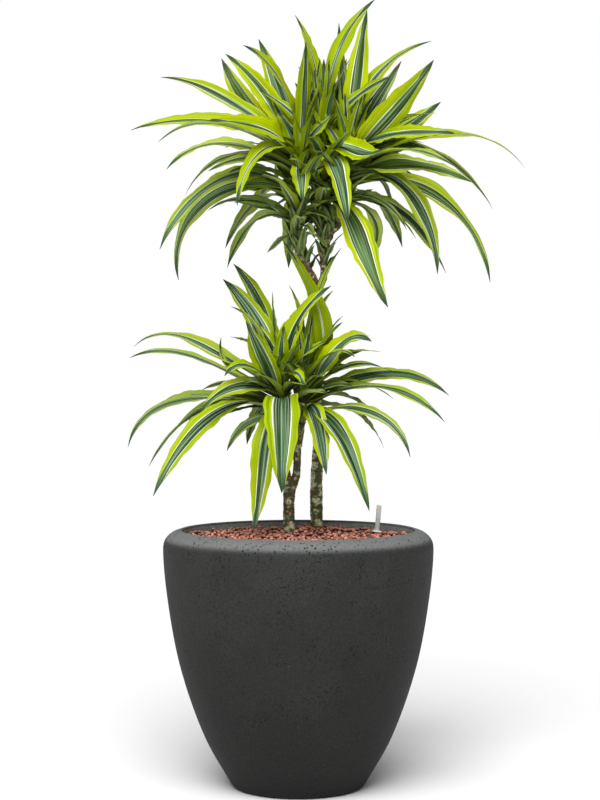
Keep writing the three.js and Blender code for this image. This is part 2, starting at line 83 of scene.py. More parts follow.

# The loose lumps. Strays and the distance of the rows are shares of the spacing, sizes of the
# mean radius. A lump is lifted from LOWEST by up to RANGE; a higher CROWDING leaves more of them
# low. Painted shade darkens its sides below LIT, over SHADED, and the whole lump when its lift is
# under DEEP.
LUMP_SEED = 27
LUMP_KINDS = 10
LUMP_STRAY = 0.2
LUMP_ROW = 0.866
LUMP_SIZE = (0.78, 1.16)
LUMP_STRETCH = (0.93, 1.07)
LUMP_LOWEST = -4.0
LUMP_RANGE = 8.8
LUMP_CROWDING = 1.7
LUMP_SUNK = 0.3
LUMP_LIT = 0.62
LUMP_SHADED = 0.85
LUMP_DEEP = 0.3
LUMP_DARKENS = 4.2
LUMP_DARKEST = 0.8

# ------------------------------------------------------------------ canes

# Centre line points and the radius there, from the lower end up; how brown the trunk and the
# limbs are at their two ends; the height below which the cut foot shows its red-brown stub.
CANES = {
    "short_cane": {
        "seed": 5, "brown": ((-0.25, 0.55), (0.6, 0.35)), "stub": None,
        "trunk": [
            (-15.2, 70, 285, 9.6), (-15.2, 70, 400, 9.6), (-15.4, 70, 452, 9.4),
            (-13.2, 70, 480, 10.2), (-11.5, 70, 489, 7.5),
        ],
        "limbs": [
            [(-13.5, 70, 474, 7), (-18.6, 69, 498, 5.2), (-19.6, 67, 535, 4.6),
             (-22.9, 65.8, 564, 5), (-24, 66, 575, 5.6)],
            [(-9.5, 70, 472, 7), (-3.4, 71, 494, 6.6), (-1, 73, 535, 6),
             (3.7, 73.7, 564, 6), (4.5, 74, 575, 6.2)],
            [(-19, 68, 507, 3.4), (-13.5, 66.5, 513, 2.6)],
        ],
    },
    "tall_cane": {
        "seed": 9, "brown": ((-0.4, 0.75), (0.55, 0.9)), "stub": 409,
        "trunk": [
            (30.4, 112, 285, 9.8), (30.4, 112, 407, 9.8), (30, 112, 436, 10.6), (30.2, 112, 486, 10),
            (35, 111, 567, 9.8), (30.4, 110, 618, 9.4), (33, 109, 699, 8.4), (28.8, 109, 741, 7.4),
            (28.6, 108, 786, 7.2), (32, 108, 806, 8.2), (33, 108, 813, 5.5),
        ],
        "limbs": [
            [(32, 108, 800, 6.6), (24, 106, 819, 5.8), (9.6, 102, 840, 5.2), (-0.6, 98.6, 858, 5),
             (-2.8, 97.9, 869, 5), (-2.4, 98, 880, 5.6)],
            [(33, 108, 798, 6.8), (41.5, 110, 818, 6), (42, 112, 846, 5.8), (46, 112, 874, 6),
             (47, 111, 882, 4.4)],
            [(45, 112, 868, 5), (38, 115.5, 889, 4.6), (35.5, 117.6, 904, 4.8), (36, 118, 915, 5.4)],
            [(45.5, 112, 870, 5), (53, 109, 891, 4.8), (65, 104, 901, 4.8), (69.6, 102.4, 913, 5),
             (71, 102, 924, 5.4)],
        ],
    },
}

# Swellings and ring scars of the bark: heights, half widths and distances. A scar's ridge has a
# groove above it. SCAR_APART is the least distance to the next scar and how much more there can be.
BARK_SWELL = (0.22, 0.16)
SCAR_TURN = 6.283
SCAR_LEAN = 2.6
SCAR_APART = (8, 11)
SCAR_WIDTH = (0.7, 1.5)
SCAR_RIDGE = 0.62
SCAR_RIDGE_HALF = 0.85
SCAR_GROOVE = 0.28
SCAR_GROOVE_HALF = 1.2
SCAR_GROOVE_OFF = 2.1

# ------------------------------------------------------------------ leaves

# A leaf is one row: height up the shoot, heading of its tip, reach in plan, rise of the tip,
# slope where it leaves the stem, slope at the tip, full width and roll of the blade. far is
# the rule for the far side: count, middle heading, sector, ranges of the reach and of the slope
# where a leaf leaves the stem, width. The FAR_ pairs go from the lowest leaf to the highest.
GOLDEN_ANGLE = 137.5
SHOOT_THICK = (7.5, 3.5)
FAR_UP = (0.15, 0.85)
FAR_SHARE = (1, 0.7)
FAR_RISE = (-0.45, 0.75)
FAR_LANDING = (-70, 20)

SHOOTS = [
    {
        "name": "lower_left_shoot", "foot": (-24, 66, 575), "crest": (-36, 68, 690),
        "seed": 11, "far": (6, 108, 84, (120, 190), (35, 60), 34),
        "leaves": [
            (60, 165, 249, 68, 25, -42, 32, -28), (44, 192, 243, 65, 23, -26, 32, -28),
            (50, 170, 94, 93, 20, 105, 18, -45), (46, 225, 120, 34, 54, -50, 32, -44),
            (38, 222, 165, -13, 42, -42, 38, -36), (65, 140, 120, 177, 82, 34, 46, -40),
            (75, 118, 165, 197, 86, 26, 32, -42), (58, 200, 79, 134, 74, 15, 22, -45),
            (44, 240, 104, 123, 58, 45, 32, 25), (53, 158, 50, 104, 55, 95, 24, -40),
            (81, 120, 15, 138, 84, 92, 28, 50), (65, 350, 80, 161, 92, 30, 44, 58),
            (18, 270, 132, -121, 56, -84, 62, 2), (21, 245, 102, -186, 0, -62, 42, -22),
            (16, 211, 231, -125, 34, -64, 44, -30), (27, 160, 234, -100, 24, -62, 33, -40),
            (33, 194, 248, -67, 8, -77, 34, -24), (33, 169, 241, -30, 12, -46, 31, -24),
            (8, 215, 104, -48, 15, -66, 24, -30), (49, 145, 162, 5, 22, -25, 28, -35),
            (60, 310, 54, 3, 88, -84, 28, 24),
        ],
    },
    {
        "name": "lower_right_shoot", "foot": (4.5, 74, 575), "crest": (14, 78, 700),
        "seed": 23, "far": (6, 11, 34, (130, 210), (35, 60), 34),
        "leaves": [
            (73, 180, 20, 155, 95, 60, 22, -35), (70, 15, 44, 150, 85, 40, 24, 40),
            (49, 180, 29, 253, 138, 54, 36, -55), (57, 20, 61, 234, 88, 50, 20, 35),
            (65, 330, 68, 112, 62, 35, 24, 35), (65, 270, 9, 100, 88, 80, 26, 40),
            (45, 325, 128, 90, 54, -34, 46, 62), (65, 305, 134, 45, 52, -30, 28, 20),
            (45, 335, 130, 51, 48, -14, 28, 30), (37, 8, 240, 10, 31, -42, 38, 44),
            (25, 340, 237, -19, 36, -49, 34, 26), (12, 331, 192, -61, 22, -76, 28, 30),
            (25, 306, 173, -156, 4, -66, 42, 14), (24, 289, 112, -100, 30, -62, 38, 6),
        ],
    },
    {
        "name": "upper_left_shoot", "foot": (-2.4, 98, 880), "crest": (4, 100, 1055),
        "seed": 37, "far": (6, 128, 50, (150, 220), (45, 70), 36),
        "leaves": [
            (124, 172, 281, 61, 50, -18, 36, -45), (120, 225, 197, 57, 66, -4, 44, -52),
            (127, 190, 229, 28, 37, -45, 36, -22), (110, 208, 234, -7, 31, -50, 38, -24),
            (152, 160, 247, 129, 34, 4, 32, -48), (142, 130, 196, 190, 60, 30, 38, -55),
            (132, 125, 235, 200, 33, 55, 52, -26), (157, 218, 112, 150, 84, 12, 40, -60),
            (142, 115, 165, 216, 56, 48, 40, -18), (112, 228, 143, -66, 68, -85, 34, -20),
            (66, 200, 232, -88, 51, -69, 42, -34), (56, 182, 192, -124, 44, -103, 40, -46),
            (77, 145, 192, 9, 24, -15, 38, -64), (100, 218, 178, 0, 34, -30, 30, -30),
            (34, 148, 176, 21, 27, -33, 28, -42), (19, 215, 76, 8, 46, -33, 22, -30),
            (4, 195, 46, -27, 12, -42, 16, -30), (52, 100, 88, -94, 40, -85, 34, 10),
            (102, 275, 50, -43, 66, -84, 35, 4), (110, 310, 29, 33, 80, -40, 22, 14),
            (130, 300, 15, 192, 84, 88, 36, 4), (96, 158, 203, -16, 54, -62, 30, -36),
        ],
    },
    {
        "name": "upper_centre_shoot", "foot": (36, 118, 915), "crest": (44, 124, 1095),
        "seed": 41, "far": (7, 80, 44, (140, 220), (45, 70), 38),
        "leaves": [
            (156, 205, 49, 179, 88, 55, 36, -60), (156, 8, 81, 212, 92, 42, 38, 50),
            (148, 315, 146, 72, 42, 10, 30, 72), (113, 306, 152, -12, 26, 20, 50, 44),
            (82, 286, 138, -97, 42, -62, 44, 4), (28, 303, 186, -180, 8, -45, 54, 12),
            (150, 120, 40, 150, 84, 80, 34, 30), (140, 60, 50, 165, 80, 75, 34, -40),
            (130, 285, 30, 130, 84, 78, 30, 40), (120, 30, 40, 150, 84, 80, 30, 30),
        ],
    },
    {
        "name": "upper_right_shoot", "foot": (71, 102, 924), "crest": (86, 98, 1045),
        "seed": 53, "far": (6, 30, 48, (150, 230), (40, 65), 36),
        "leaves": [
            (104, 110, 42, 217, 84, 88, 30, 16), (104, 10, 25, 231, 88, 80, 44, 52),
            (104, 2, 131, 180, 92, 14, 30, 42), (96, 45, 125, 170, 70, 52, 36, 24),
            (92, 330, 151, 147, 42, 50, 50, -46), (88, 25, 170, 106, 26, 38, 44, 58),
            (80, 12, 302, 2, 27, -52, 31, 24), (100, 335, 180, 22, 34, -6, 38, 54),
            (40, 338, 156, -144, 42, -90, 40, 40), (40, 14, 250, -152, 25, -82, 42, 54),
            (75, 20, 261, -60, 47, -58, 36, 40), (70, 320, 212, -9, 28, -34, 30, 20),
            (63, 328, 226, -25, 14, -28, 40, 50), (14, 30, 202, -108, 22, -62, 36, 58),
            (25, 340, 47, 12, 15, 15, 16, 40), (22, 335, 108, -53, 22, -62, 16, 35),
            (14, 335, 21, -95, 6, -166, 26, 30), (55, 50, 127, -48, 45, -76, 32, 20),
        ],
    },
]

# How each listed leaf is striped and worn: share of the half width that the green centre takes on
# the minus side and on the plus side, age from 0 (fresh) to 1 (withered), length of the dry tip.
# The shares are as the leaf looks in the photograph, where its fold hides some of the margin.
LOOKS = {
    "lower_left_shoot": [
        (0.30, 0.75, 0.1, 0), (0.55, 0.75, 0.2, 0), (0.30, 0.60, 0, 0), (0.35, 0.70, 0, 0),
        (0.60, 0.60, 0.1, 0), (0.62, 0.88, 0, 0), (0.50, 0.75, 0, 0), (0.40, 0.60, 0, 0),
        (0.92, 0.68, 0, 0), (0.08, 0.20, 0, 0), (0.75, 0.75, 0.1, 0), (0.70, 0.15, 0, 0),
        (0.68, 0.68, 0, 0), (0.45, 0.65, 0, 0), (0.60, 0.60, 0, 0), (0.50, 0.60, 0.3, 0.1),
        (0.60, 0.70, 0.4, 0.1), (0.40, 0.70, 0.2, 0), (0.70, 0.70, 0.4, 0), (0.70, 0.60, 0.3, 0),
        (0.50, 0.35, 0, 0),
    ],
    "lower_right_shoot": [
        (0.30, 0.30, 0, 0), (0.50, 0.50, 0, 0), (0.10, 0.06, 0, 0), (0.25, 0.35, 0, 0),
        (0.08, 0.15, 0, 0.5), (0.80, 0.80, 0, 0), (0.80, 0.38, 0, 0), (0.50, 0.40, 0, 0),
        (0.55, 0.60, 0.1, 0), (0.75, 0.72, 0.1, 0), (0.75, 0.50, 0.1, 0), (0.75, 0.60, 0.2, 0),
        (0.80, 0.72, 0, 0), (0.64, 0.80, 0, 0),
    ],
    "upper_left_shoot": [
        (0.10, 0.70, 0, 0), (0.08, 0.42, 0, 0), (0.50, 0.60, 0.3, 0.1), (0.50, 0.60, 0.2, 0),
        (0.30, 0.85, 0, 0), (0.40, 0.45, 0, 0), (0.72, 0.72, 0, 0.15), (0.12, 0.50, 0, 0),
        (0.75, 0.68, 0, 0), (0.12, 0.20, 0, 0), (0.55, 0.75, 0.1, 0), (0.70, 0.60, 0.3, 0.12),
        (0.75, 0.75, 0.4, 0), (0.60, 0.60, 0.4, 0), (0.60, 0.60, 0.5, 0), (0.60, 0.60, 0.6, 0.3),
        (0.60, 0.60, 0.7, 0.2), (0.50, 0.50, 0.2, 0), (0.62, 0.60, 0, 0), (0.15, 0.50, 0, 0),
        (0.40, 0.55, 0, 0), (0.60, 0.50, 0.2, 0),
    ],
    "upper_centre_shoot": [
        (0.10, 0.20, 0, 0), (0.15, 0.35, 0, 0), (0.60, 0.50, 0, 0.2), (0.62, 0.42, 0, 0),
        (0.76, 0.76, 0, 0), (0.84, 0.70, 0, 0), (0.40, 0.30, 0, 0), (0.50, 0.30, 0, 0),
        (0.30, 0.50, 0, 0), (0.40, 0.40, 0, 0),
    ],
    "upper_right_shoot": [
        (0.70, 0.70, 0, 0), (0.58, 0.60, 0, 0), (0.50, 0.40, 0, 0), (0.85, 0.80, 0.3, 0.28),
        (0.34, 0.60, 0, 0), (0.75, 0.55, 0, 0), (0.20, 0.20, 0, 0), (0.65, 0.38, 0, 0),
        (0.70, 0.55, 0.1, 0), (0.80, 0.50, 0.1, 0), (0.80, 0.70, 0.2, 0), (0.60, 0.50, 0.2, 0),
        (0.70, 0.80, 0.2, 0), (0.65, 0.65, 0.2, 0), (0.50, 0.50, 0.5, 0.1), (0.50, 0.50, 0.6, 0.2),
        (0.50, 0.40, 0.4, 0.1), (0.60, 0.60, 0.4, 0),
    ],
}

# Rows of leaves that are too small or too hidden for the solids.
SMALL_LEAVES = {
    "lower_left_shoot": [
        (30, 200, 95, 22, 30, -30, 22, -40), (24, 188, 108, -14, 20, -25, 12, -30),
        (38, 230, 90, 30, 55, -20, 24, -35), (60, 60, 30, 120, 84, 70, 26, 30),
        (70, 285, 26, 92, 84, 60, 30, 0), (64, 320, 42, 74, 80, 40, 30, 10),
        (52, 290, 36, 52, 76, 20, 28, 0), (44, 310, 60, 20, 62, -30, 30, 10),
    ],
    "lower_right_shoot": [
        (60, 200, 60, 60, 70, 10, 24, -40), (72, 250, 30, 96, 86, 60, 24, 20),
        (50, 130, 70, 90, 70, 30, 26, -30), (62, 285, 30, 88, 84, 56, 30, 0),
        (50, 245, 40, 50, 76, 10, 28, 0), (44, 300, 56, 34, 66, -20, 30, 10),
    ],
    "upper_left_shoot": [
        (58, 325, 62, 14, 66, -30, 22, 35), (34, 315, 52, 22, 62, 10, 20, 30),
        (84, 205, 120, 20, 40, -30, 26, -40), (70, 196, 105, 8, 34, -30, 24, -40),
        (146, 340, 34, 118, 84, 66, 26, 20), (128, 325, 30, 96, 84, 60, 24, 10),
        (150, 20, 30, 150, 86, 84, 30, 10), (96, 250, 34, 40, 70, -10, 22, 0),
        (30, 330, 62, -4, 52, -46, 24, 20), (14, 300, 52, -16, 46, -56, 22, 0),
        (50, 352, 70, 2, 48, -44, 26, 30), (4, 345, 50, -24, 36, -60, 22, 10),
    ],
    "upper_centre_shoot": [
        (60, 330, 80, 20, 60, -20, 26, 35), (44, 200, 60, 30, 66, 0, 24, -30),
        (84, 250, 70, 40, 70, -20, 28, 20), (132, 215, 30, 138, 86, 70, 30, -10),
        (128, 240, 26, 116, 86, 74, 28, 0), (136, 270, 20, 126, 86, 80, 28, 0),
        (120, 300, 34, 104, 84, 60, 28, 10), (108, 230, 34, 84, 84, 54, 26, 0),
        (140, 330, 44, 122, 84, 56, 30, 20), (118, 255, 24, 90, 86, 60, 24, 0),
        (34, 250, 62, -10, 52, -56, 26, 0), (22, 200, 76, -4, 42, -44, 24, -20),
        (14, 290, 52, -24, 42, -64, 24, 0), (46, 182, 76, 8, 50, -34, 26, -30),
        (6, 230, 54, -22, 42, -64, 22, 0), (58, 262, 66, 4, 60, -50, 28, 0),
    ],
    "upper_right_shoot": [
        (16, 345, 118, -60, 18, -60, 12, 30), (48, 340, 110, 12, 34, -30, 26, 35),
        (58, 18, 150, 20, 34, -30, 28, 35), (96, 230, 36, 92, 84, 52, 28, -10),
        (88, 260, 30, 104, 86, 66, 28, 0), (92, 300, 40, 96, 82, 50, 28, 10),
    ],
}

# The leaves that fill a crown: how many, and their size. From the share INNER_ROUND of the
# stem up they stand only in the sector at the back. Pairs go from the lowest to the highest.
INNER_LEAVES = {
    "lower_left_shoot": (16, 0.85), "lower_right_shoot": (14, 0.85), "upper_left_shoot": (22, 1.05),
    "upper_centre_shoot": (24, 1.15), "upper_right_shoot": (20, 1.05),
}
INNER_ROUND = 0.4
INNER_BACK = (-10, 200)
INNER_UP = (0.04, 0.84)
INNER_SLOPES = (18, 76)
INNER_LENGTHS = (70, 118)
INNER_WIDTHS = (26, 34)
INNER_BENDS = (60, 20)
INNER_ARCH = 14

# How light the lower crowns and the leaves in shade are, and which listed leaves stand in shade.
LOWER_LIT = 0.35
SHADED_LIT = -0.75
SHADED = {"lower_right_shoot": (2, 4), "upper_left_shoot": (20,)}

# How much of its margin a fold hides, as a share that narrows the green centre in LOOKS.
FOLD_HIDES = 0.77

# Which arm of a cane still carries old leaves, from what share of its length, and how many.
# An arm with no more than ARM_BASES_ONLY has dry bases only. They start ARM_THICK off its axis.
ARM_LEAVES = {
    "short_cane": [(0, 0.45, 8), (1, 0.5, 8)],
    "tall_cane": [(0, 0.3, 16), (1, 0.35, 11), (2, 0, 11), (3, 0.1, 11)],
}
ARM_BASES_ONLY = 10
ARM_THICK = 4
ARM_BASES = {"lengths": (9, 16), "widths": (11, 13), "ages": (1, 0.6)}
ARM_SHORT_LEAVES = {"lengths": (30, 66), "widths": (12, 19), "ages": (0.85, 0.5)}
OLD_BASES = {"count": 30, "lengths": (16, 34), "widths": (14, 19), "ages": (1, 0.1)}
CORE_SUNK = 2.5

# Thickness of the midrib at base and tip and of the edges; least half width; how far from the
# stem's axis a leaf starts. Then widths as shares of the full width, places as shares of the
# length, the slope of the fold at base and tip, and the twist in degrees.
LEAF_THICK = (1.7, 0.8)
LEAF_EDGE = 0.35
LEAF_NARROWEST = 0.35
LEAF_ROOT = 5
LEAF_BASE_WIDTH = 0.5
LEAF_WIDEST = 0.42
LEAF_TAPER = 3.1
LEAF_TIP_SLIMMER = 0.06
LEAF_TIP_FROM = 0.72
LEAF_TIP_OVER = 0.25
LEAF_FOLD = (0.6, 0.12)
LEAF_CREASE = 0.012
LEAF_ROLL_IN = 1 / 3
LEAF_TWIST = 11

# Waves of the blade and ripples of its edges: how many (fewest and how many more for ripples), how
# high as a share of the width, how far the waves of one side are shifted. Points across a blade.
LEAF_WAVES = 2.5
LEAF_PHASES = 6.28
LEAF_WAVE_HEIGHT = 0.045
LEAF_WAVE_SHIFT = 2.2
LEAF_RIPPLES = (6.5, 4)
LEAF_FRAYED = 0.055
LEAF_COLUMNS = np.array([-1, -0.95, -0.8, -0.6, -0.4, -0.2, 0, 0.2, 0.4, 0.6, 0.8, 0.95, 1])

# Per-point values of a leaf: place across it, along it and on which side; share of the green
# centre on the minus and the plus side, and seed; age, dry tip and light. SEED_STEP keeps the
# streaks of two leaves apart.
LEAF_VALUES = ("leaf_place", "leaf_band", "leaf_look")
SEED_STEP = 37.0

# ------------------------------------------------------------------ water gauge

# Where the gauge stands at the bed, its lean in degrees, how far it stands up and reaches down.
GAUGE_FOOT = (128, 53, 400)
GAUGE_LEAN = 5
GAUGE_STANDS = 45
GAUGE_DEPTH = 150
GAUGE_HOLE = 4
GAUGE_SIDES = 40

# Heights in metres: the level marks, and where the rod's red head begins.
GAUGE_MARKS = (0.4205, 0.4365)
GAUGE_HEAD = (0.4035, 0.4045)

# ------------------------------------------------------------------ stage

# Places in metres, and how far the floor lies below the planter in millimetres.
KEY_PLACE = (-0.22, -1.45, 2.35)
FRONT_PLACE = (-0.4, -2.6, 1.6)
FRONT_TARGET = (0, 0, 0.8)
FRONT_SIZE = 1.6
FLOOR_DROP = 0.6


# ------------------------------------------------------------------ settings in the sidebar


def length(name, default, description):
    """A length in metres for a property group."""
    return FloatProperty(
        name=name, description=description, default=default, min=0, subtype="DISTANCE", unit="LENGTH",
    )


def colour(name, default, description):
    """A colour for a property group."""
    return FloatVectorProperty(
        name=name, description=description, default=default, min=0, max=1, size=3, subtype="COLOR",
    )


class StageSettings(bpy.types.PropertyGroup):
    """Camera, floor and light"""

    camera_back: length("Camera distance", 2.92, "Distance of the camera from the planter's axis")
    camera_height: length("Camera height", 0.663, "Height of the camera above the floor")
    camera_aside: length("Camera offset", 0.0027, "How far the camera stands to the right of the axis")
    camera_tilt: FloatProperty(
        name="Camera tilt", description="How far the camera looks down",
        default=math.radians(0.91), subtype="ANGLE", unit="ROTATION",
    )
    lens: FloatProperty(
        name="Lens", description="Focal length for a 36 mm long side", default=82.17, min=1,
        subtype="DISTANCE_CAMERA",
    )
    floor_size: length("Floor size", 60.0, "Length of the floor's sides")
    floor_colour: colour("Floor colour", (0.92, 0.92, 0.92), "Colour of the pale floor")
    key_strength: FloatProperty(
        name="Key light", description="Strength of the soft overhead light", default=3.25, min=0,
    )
    key_spread: FloatProperty(
        name="Key spread", description="How wide the overhead light is seen from the plant",
        default=math.radians(42), subtype="ANGLE", unit="ROTATION",
    )
    front_power: FloatProperty(
        name="Front light", description="Power of the soft light beside the camera", default=14, min=0,
        subtype="POWER", unit="POWER",
    )
    sky: FloatProperty(
        name="Surrounding light", description="Strength of the white surroundings", default=0.28, min=0,
    )


class PlanterSettings(bpy.types.PropertyGroup):
    """Facets and colours of the planter"""

    sides: IntProperty(name="Sides", description="Facets round the planter", default=176, min=24)
    dark: colour("Dark tone", (0.0172, 0.0176, 0.0166), "Anthracite in the darker clouds")
    light: colour("Light tone", (0.0305, 0.0305, 0.0288), "Anthracite in the lighter clouds")
    # The rim tone paints the rim's band of wear and painted sheen, and the light specks.
    rim: colour("Rim tone", (0.175, 0.182, 0.178), "Paler tone of the rubbed rim")
    # The inside tone is painted light on the wall above the granules, against the crown's shadow.
    inside: colour("Inside", (0.42, 0.43, 0.425), "Dusty tone of the wall above the granules")
    pits: colour("Pits", (0.006, 0.0065, 0.0065), "Colour inside the small casting pits")


class GranuleSettings(bpy.types.PropertyGroup):
    """Size, level and colours of the clay granules"""

    spacing: length("Spacing", 0.0061, "Distance between neighbouring granules")
    radius: length("Radius", 0.0031, "Mean radius of a granule")
    level: length("Bed level", 0.3960, "Mean height of the granule bed")
    light: colour("Light clay", (0.56, 0.235, 0.165), "Lightest fired clay")
    dark: colour("Dark clay", (0.20, 0.066, 0.044), "Darkest fired clay")


class CaneSettings(bpy.types.PropertyGroup):
    """Facets and bark colours of the canes"""

    sides: IntProperty(name="Sides", description="Facets round a cane", default=28, min=8)
    step: length("Step", 0.0016, "Distance between rings of points along a cane")
    green: colour("Green bark", (0.088, 0.122, 0.042), "Green bark of the lower canes")
    pale: colour("Pale patches", (0.72, 0.73, 0.44), "Pale patches in the bark")
    scar: colour("Ring scars", (0.27, 0.085, 0.036), "Red-brown ring scars")
    brown: colour("Brown bark", (0.085, 0.052, 0.028), "Dark brown bark higher up")


class LeafSettings(bpy.types.PropertyGroup):
    """Segments and colours of the leaves"""

    segments: IntProperty(name="Segments", description="Segments along a grown leaf", default=30, min=8)
    lime: colour("Bright margin", (0.54, 0.62, 0.0), "Lime of the leaf's margins")
    lime_deep: colour("Deep margin", (0.19, 0.31, 0.001), "Deeper green of the margins")
    cream: colour("Line", (0.84, 0.88, 0.70), "Cream lines between margin and centre")
    centre: colour("Centre", (0.112, 0.215, 0.094), "Blue-grey green of the centre")
    centre_pale: colour("Pale veins", (0.24, 0.39, 0.235), "Palest streaks of the centre")
    centre_dark: colour("Dark veins", (0.014, 0.034, 0.006), "Darkest veins and tips")
    dry: colour("Dry leaf", (0.16, 0.105, 0.05), "Dry tips and withered bases")
    straw: colour("Straw", (0.36, 0.32, 0.17), "Palest of the withered bases")


class GaugeSettings(bpy.types.PropertyGroup):
    """Size and colours of the water gauge"""

    outer: length("Tube radius", 0.004, "Outer radius of the tube")
    bore: length("Bore", 0.0027, "Inner radius of the tube")
    plate: length("Plate radius", 0.008, "Radius of the white plate")
    clear: colour("Tube colour", (0.66, 0.67, 0.70), "Milky clear plastic")
    mark: colour("Marks", (0.72, 0.50, 0.18), "Yellowish level marks")
    red: colour("Float", (0.45, 0.05, 0.03), "Red head of the float rod")
    rod: colour("Rod", (0.8, 0.8, 0.78), "White of the float rod")
    white: colour("Plate", (0.86, 0.86, 0.86), "White of the plate")
    soiled: colour("Soiled plate", (0.7, 0.68, 0.66), "Soiled white of the plate")


# ------------------------------------------------------------------ numbers and curves


def seeded(seed):
    """A repeatable stream of numbers from 0 to 1."""
    state = seed
    while True:
        state = (state * 16807) % 2147483647
        yield (state - 1) / 2147483646


def between(ends, share):
    """The value at a share of the way between two ends."""
    return ends[0] + (ends[1] - ends[0]) * share


def smooth(share):
    """A share from 0 to 1 that starts and ends gently."""
    share = np.clip(share, 0, 1)
    return share * share * (3 - 2 * share)


def unit(vectors):
    """The vectors at length 1."""
    return vectors / np.linalg.norm(vectors, axis=-1, keepdims=True)


def flowing(points, steps):
    """A smooth line through points; the radius or any further value flows with it."""
    points = np.array(points, float)
    knots = np.vstack([2 * points[0] - points[1], points, 2 * points[-1] - points[-2]])
    spans = np.sqrt(np.linalg.norm(np.diff(knots[:, :3], axis=0), axis=1))[:, None]
    out = []
    for i in range(len(points) - 1):
        before, here, after = spans[i], spans[i + 1], spans[i + 2]
        a, b, c, d = knots[i:i + 4]
        leave = ((b - a) / before - (c - a) / (before + here) + (c - b) / here) * here
        arrive = ((c - b) / here - (d - b) / (here + after) + (d - c) / after) * here
        t = np.linspace(0, 1, steps, endpoint=i == len(points) - 2)[:, None]
        out.append(
            b * (2 * t ** 3 - 3 * t ** 2 + 1) + leave * (t ** 3 - 2 * t ** 2 + t)
            + c * (3 * t ** 2 - 2 * t ** 3) + arrive * (t ** 3 - t ** 2)
        )
    return np.vstack(out)


def even(line, count):
    """The line's points again, evenly spaced along it, with the way it goes and the distances."""
    steps = np.linalg.norm(np.diff(line[:, :3], axis=0), axis=1)
    run = np.concatenate([[0], np.cumsum(steps)])
    at = np.linspace(0, run[-1], count)
    spaced = np.stack([np.interp(at, run, line[:, k]) for k in range(line.shape[1])], axis=1)
    way = unit(np.gradient(spaced[:, :3], axis=0))
    return spaced, way, at


# ------------------------------------------------------------------ meshes


class Skin:
    """The points, faces and per-point values of a piece that is being made, in millimetres."""

    def __init__(self, *names):
        self.points = []
        self.values = {name: [] for name in names}
        self.corners = []
        self.sizes = []
        self.count = 0

    def add(self, points, faces, **values):
        """Adds points and equal-sided faces that count from this call's first point."""
        points = np.asarray(points, float).reshape(-1, 3)
        faces = np.asarray(faces, int)
        self.points.append(points)
        for name, store in self.values.items():
            store.append(np.broadcast_to(np.asarray(values[name], float), points.shape))
        self.corners.append((faces + self.count).ravel())
        self.sizes.append(np.full(len(faces), faces.shape[1]))
        self.count += len(points)

    def tube(self, rings, capped=True, **values):
        """A skin over rings of points that run counter-clockwise about the way they go."""
        count, sides, _ = rings.shape
        along, around = np.meshgrid(np.arange(count - 1), np.arange(sides), indexing="ij")
        a = (along * sides + around).ravel()
        b = (along * sides + (around + 1) % sides).ravel()
        faces = np.stack([a, b, b + sides, a + sides], axis=1)
        if capped:
            k = np.arange(sides // 2 - 1)
            strip = np.stack([k, k + 1, sides - 2 - k, sides - 1 - k], axis=1)
            faces = np.vstack([faces, strip[:, ::-1], strip + (count - 1) * sides])
        flat = {name: np.broadcast_to(v, rings.shape).reshape(-1, 3) for name, v in values.items()}
        self.add(rings, faces, **flat)

    def piece(self, name, material):
        """The finished object, in metres."""
        mesh = bpy.data.meshes.new(name)
        points = np.vstack(self.points) * MM
        corners = np.concatenate(self.corners)
        sizes = np.concatenate(self.sizes)
        mesh.vertices.add(len(points))
        mesh.vertices.foreach_set("co", points.astype(np.float32).ravel())
        mesh.loops.add(len(corners))
        mesh.loops.foreach_set("vertex_index", corners.astype(np.int32))
        mesh.polygons.add(len(sizes))
        starts = np.concatenate([[0], np.cumsum(sizes)[:-1]])
        mesh.polygons.foreach_set("loop_start", starts.astype(np.int32))
        mesh.polygons.foreach_set("use_smooth", np.ones(len(sizes), bool))
        for value, store in self.values.items():
            layer = mesh.attributes.new(value, "FLOAT_VECTOR", "POINT")
            layer.data.foreach_set("vector", np.vstack(store).astype(np.float32).ravel())
        mesh.update(calc_edges=True)
        if mesh.validate():
            raise RuntimeError(f"{name} has faulty faces")
        mesh.materials.append(material)
        made = bpy.data.objects.new(name, mesh)
        bpy.context.scene.collection.objects.link(made)
        return made


def turned(profile, sides):
    """Rings of a shape turned about Z, for points given as radius and height."""
    profile = np.array(profile, float)
    angle = np.arange(sides) * 2 * math.pi / sides
    return np.stack([
        profile[:, :1] * np.cos(angle), profile[:, :1] * np.sin(angle),
        np.repeat(profile[:, 1:], sides, axis=1),
    ], axis=2)


def settle(made, slot, *nodes):
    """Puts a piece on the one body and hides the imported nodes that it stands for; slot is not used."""
    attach(made, "root")
    if nodes:
        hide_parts(*nodes)


# ------------------------------------------------------------------ shader wiring


class Signal:
    """A number or colour that leaves a node; sums and products of it place math nodes."""

    def __init__(self, wiring, socket):
        self.wiring = wiring
        self.socket = socket

    def __add__(self, other):
        return self.wiring.math("ADD", self, other)

    def __sub__(self, other):
        return self.wiring.math("SUBTRACT", self, other)

    def __rsub__(self, other):
        return self.wiring.math("SUBTRACT", other, self)

    def __mul__(self, other):
        return self.wiring.math("MULTIPLY", self, other)

    def __abs__(self):
        return self.wiring.math("ABSOLUTE", self)


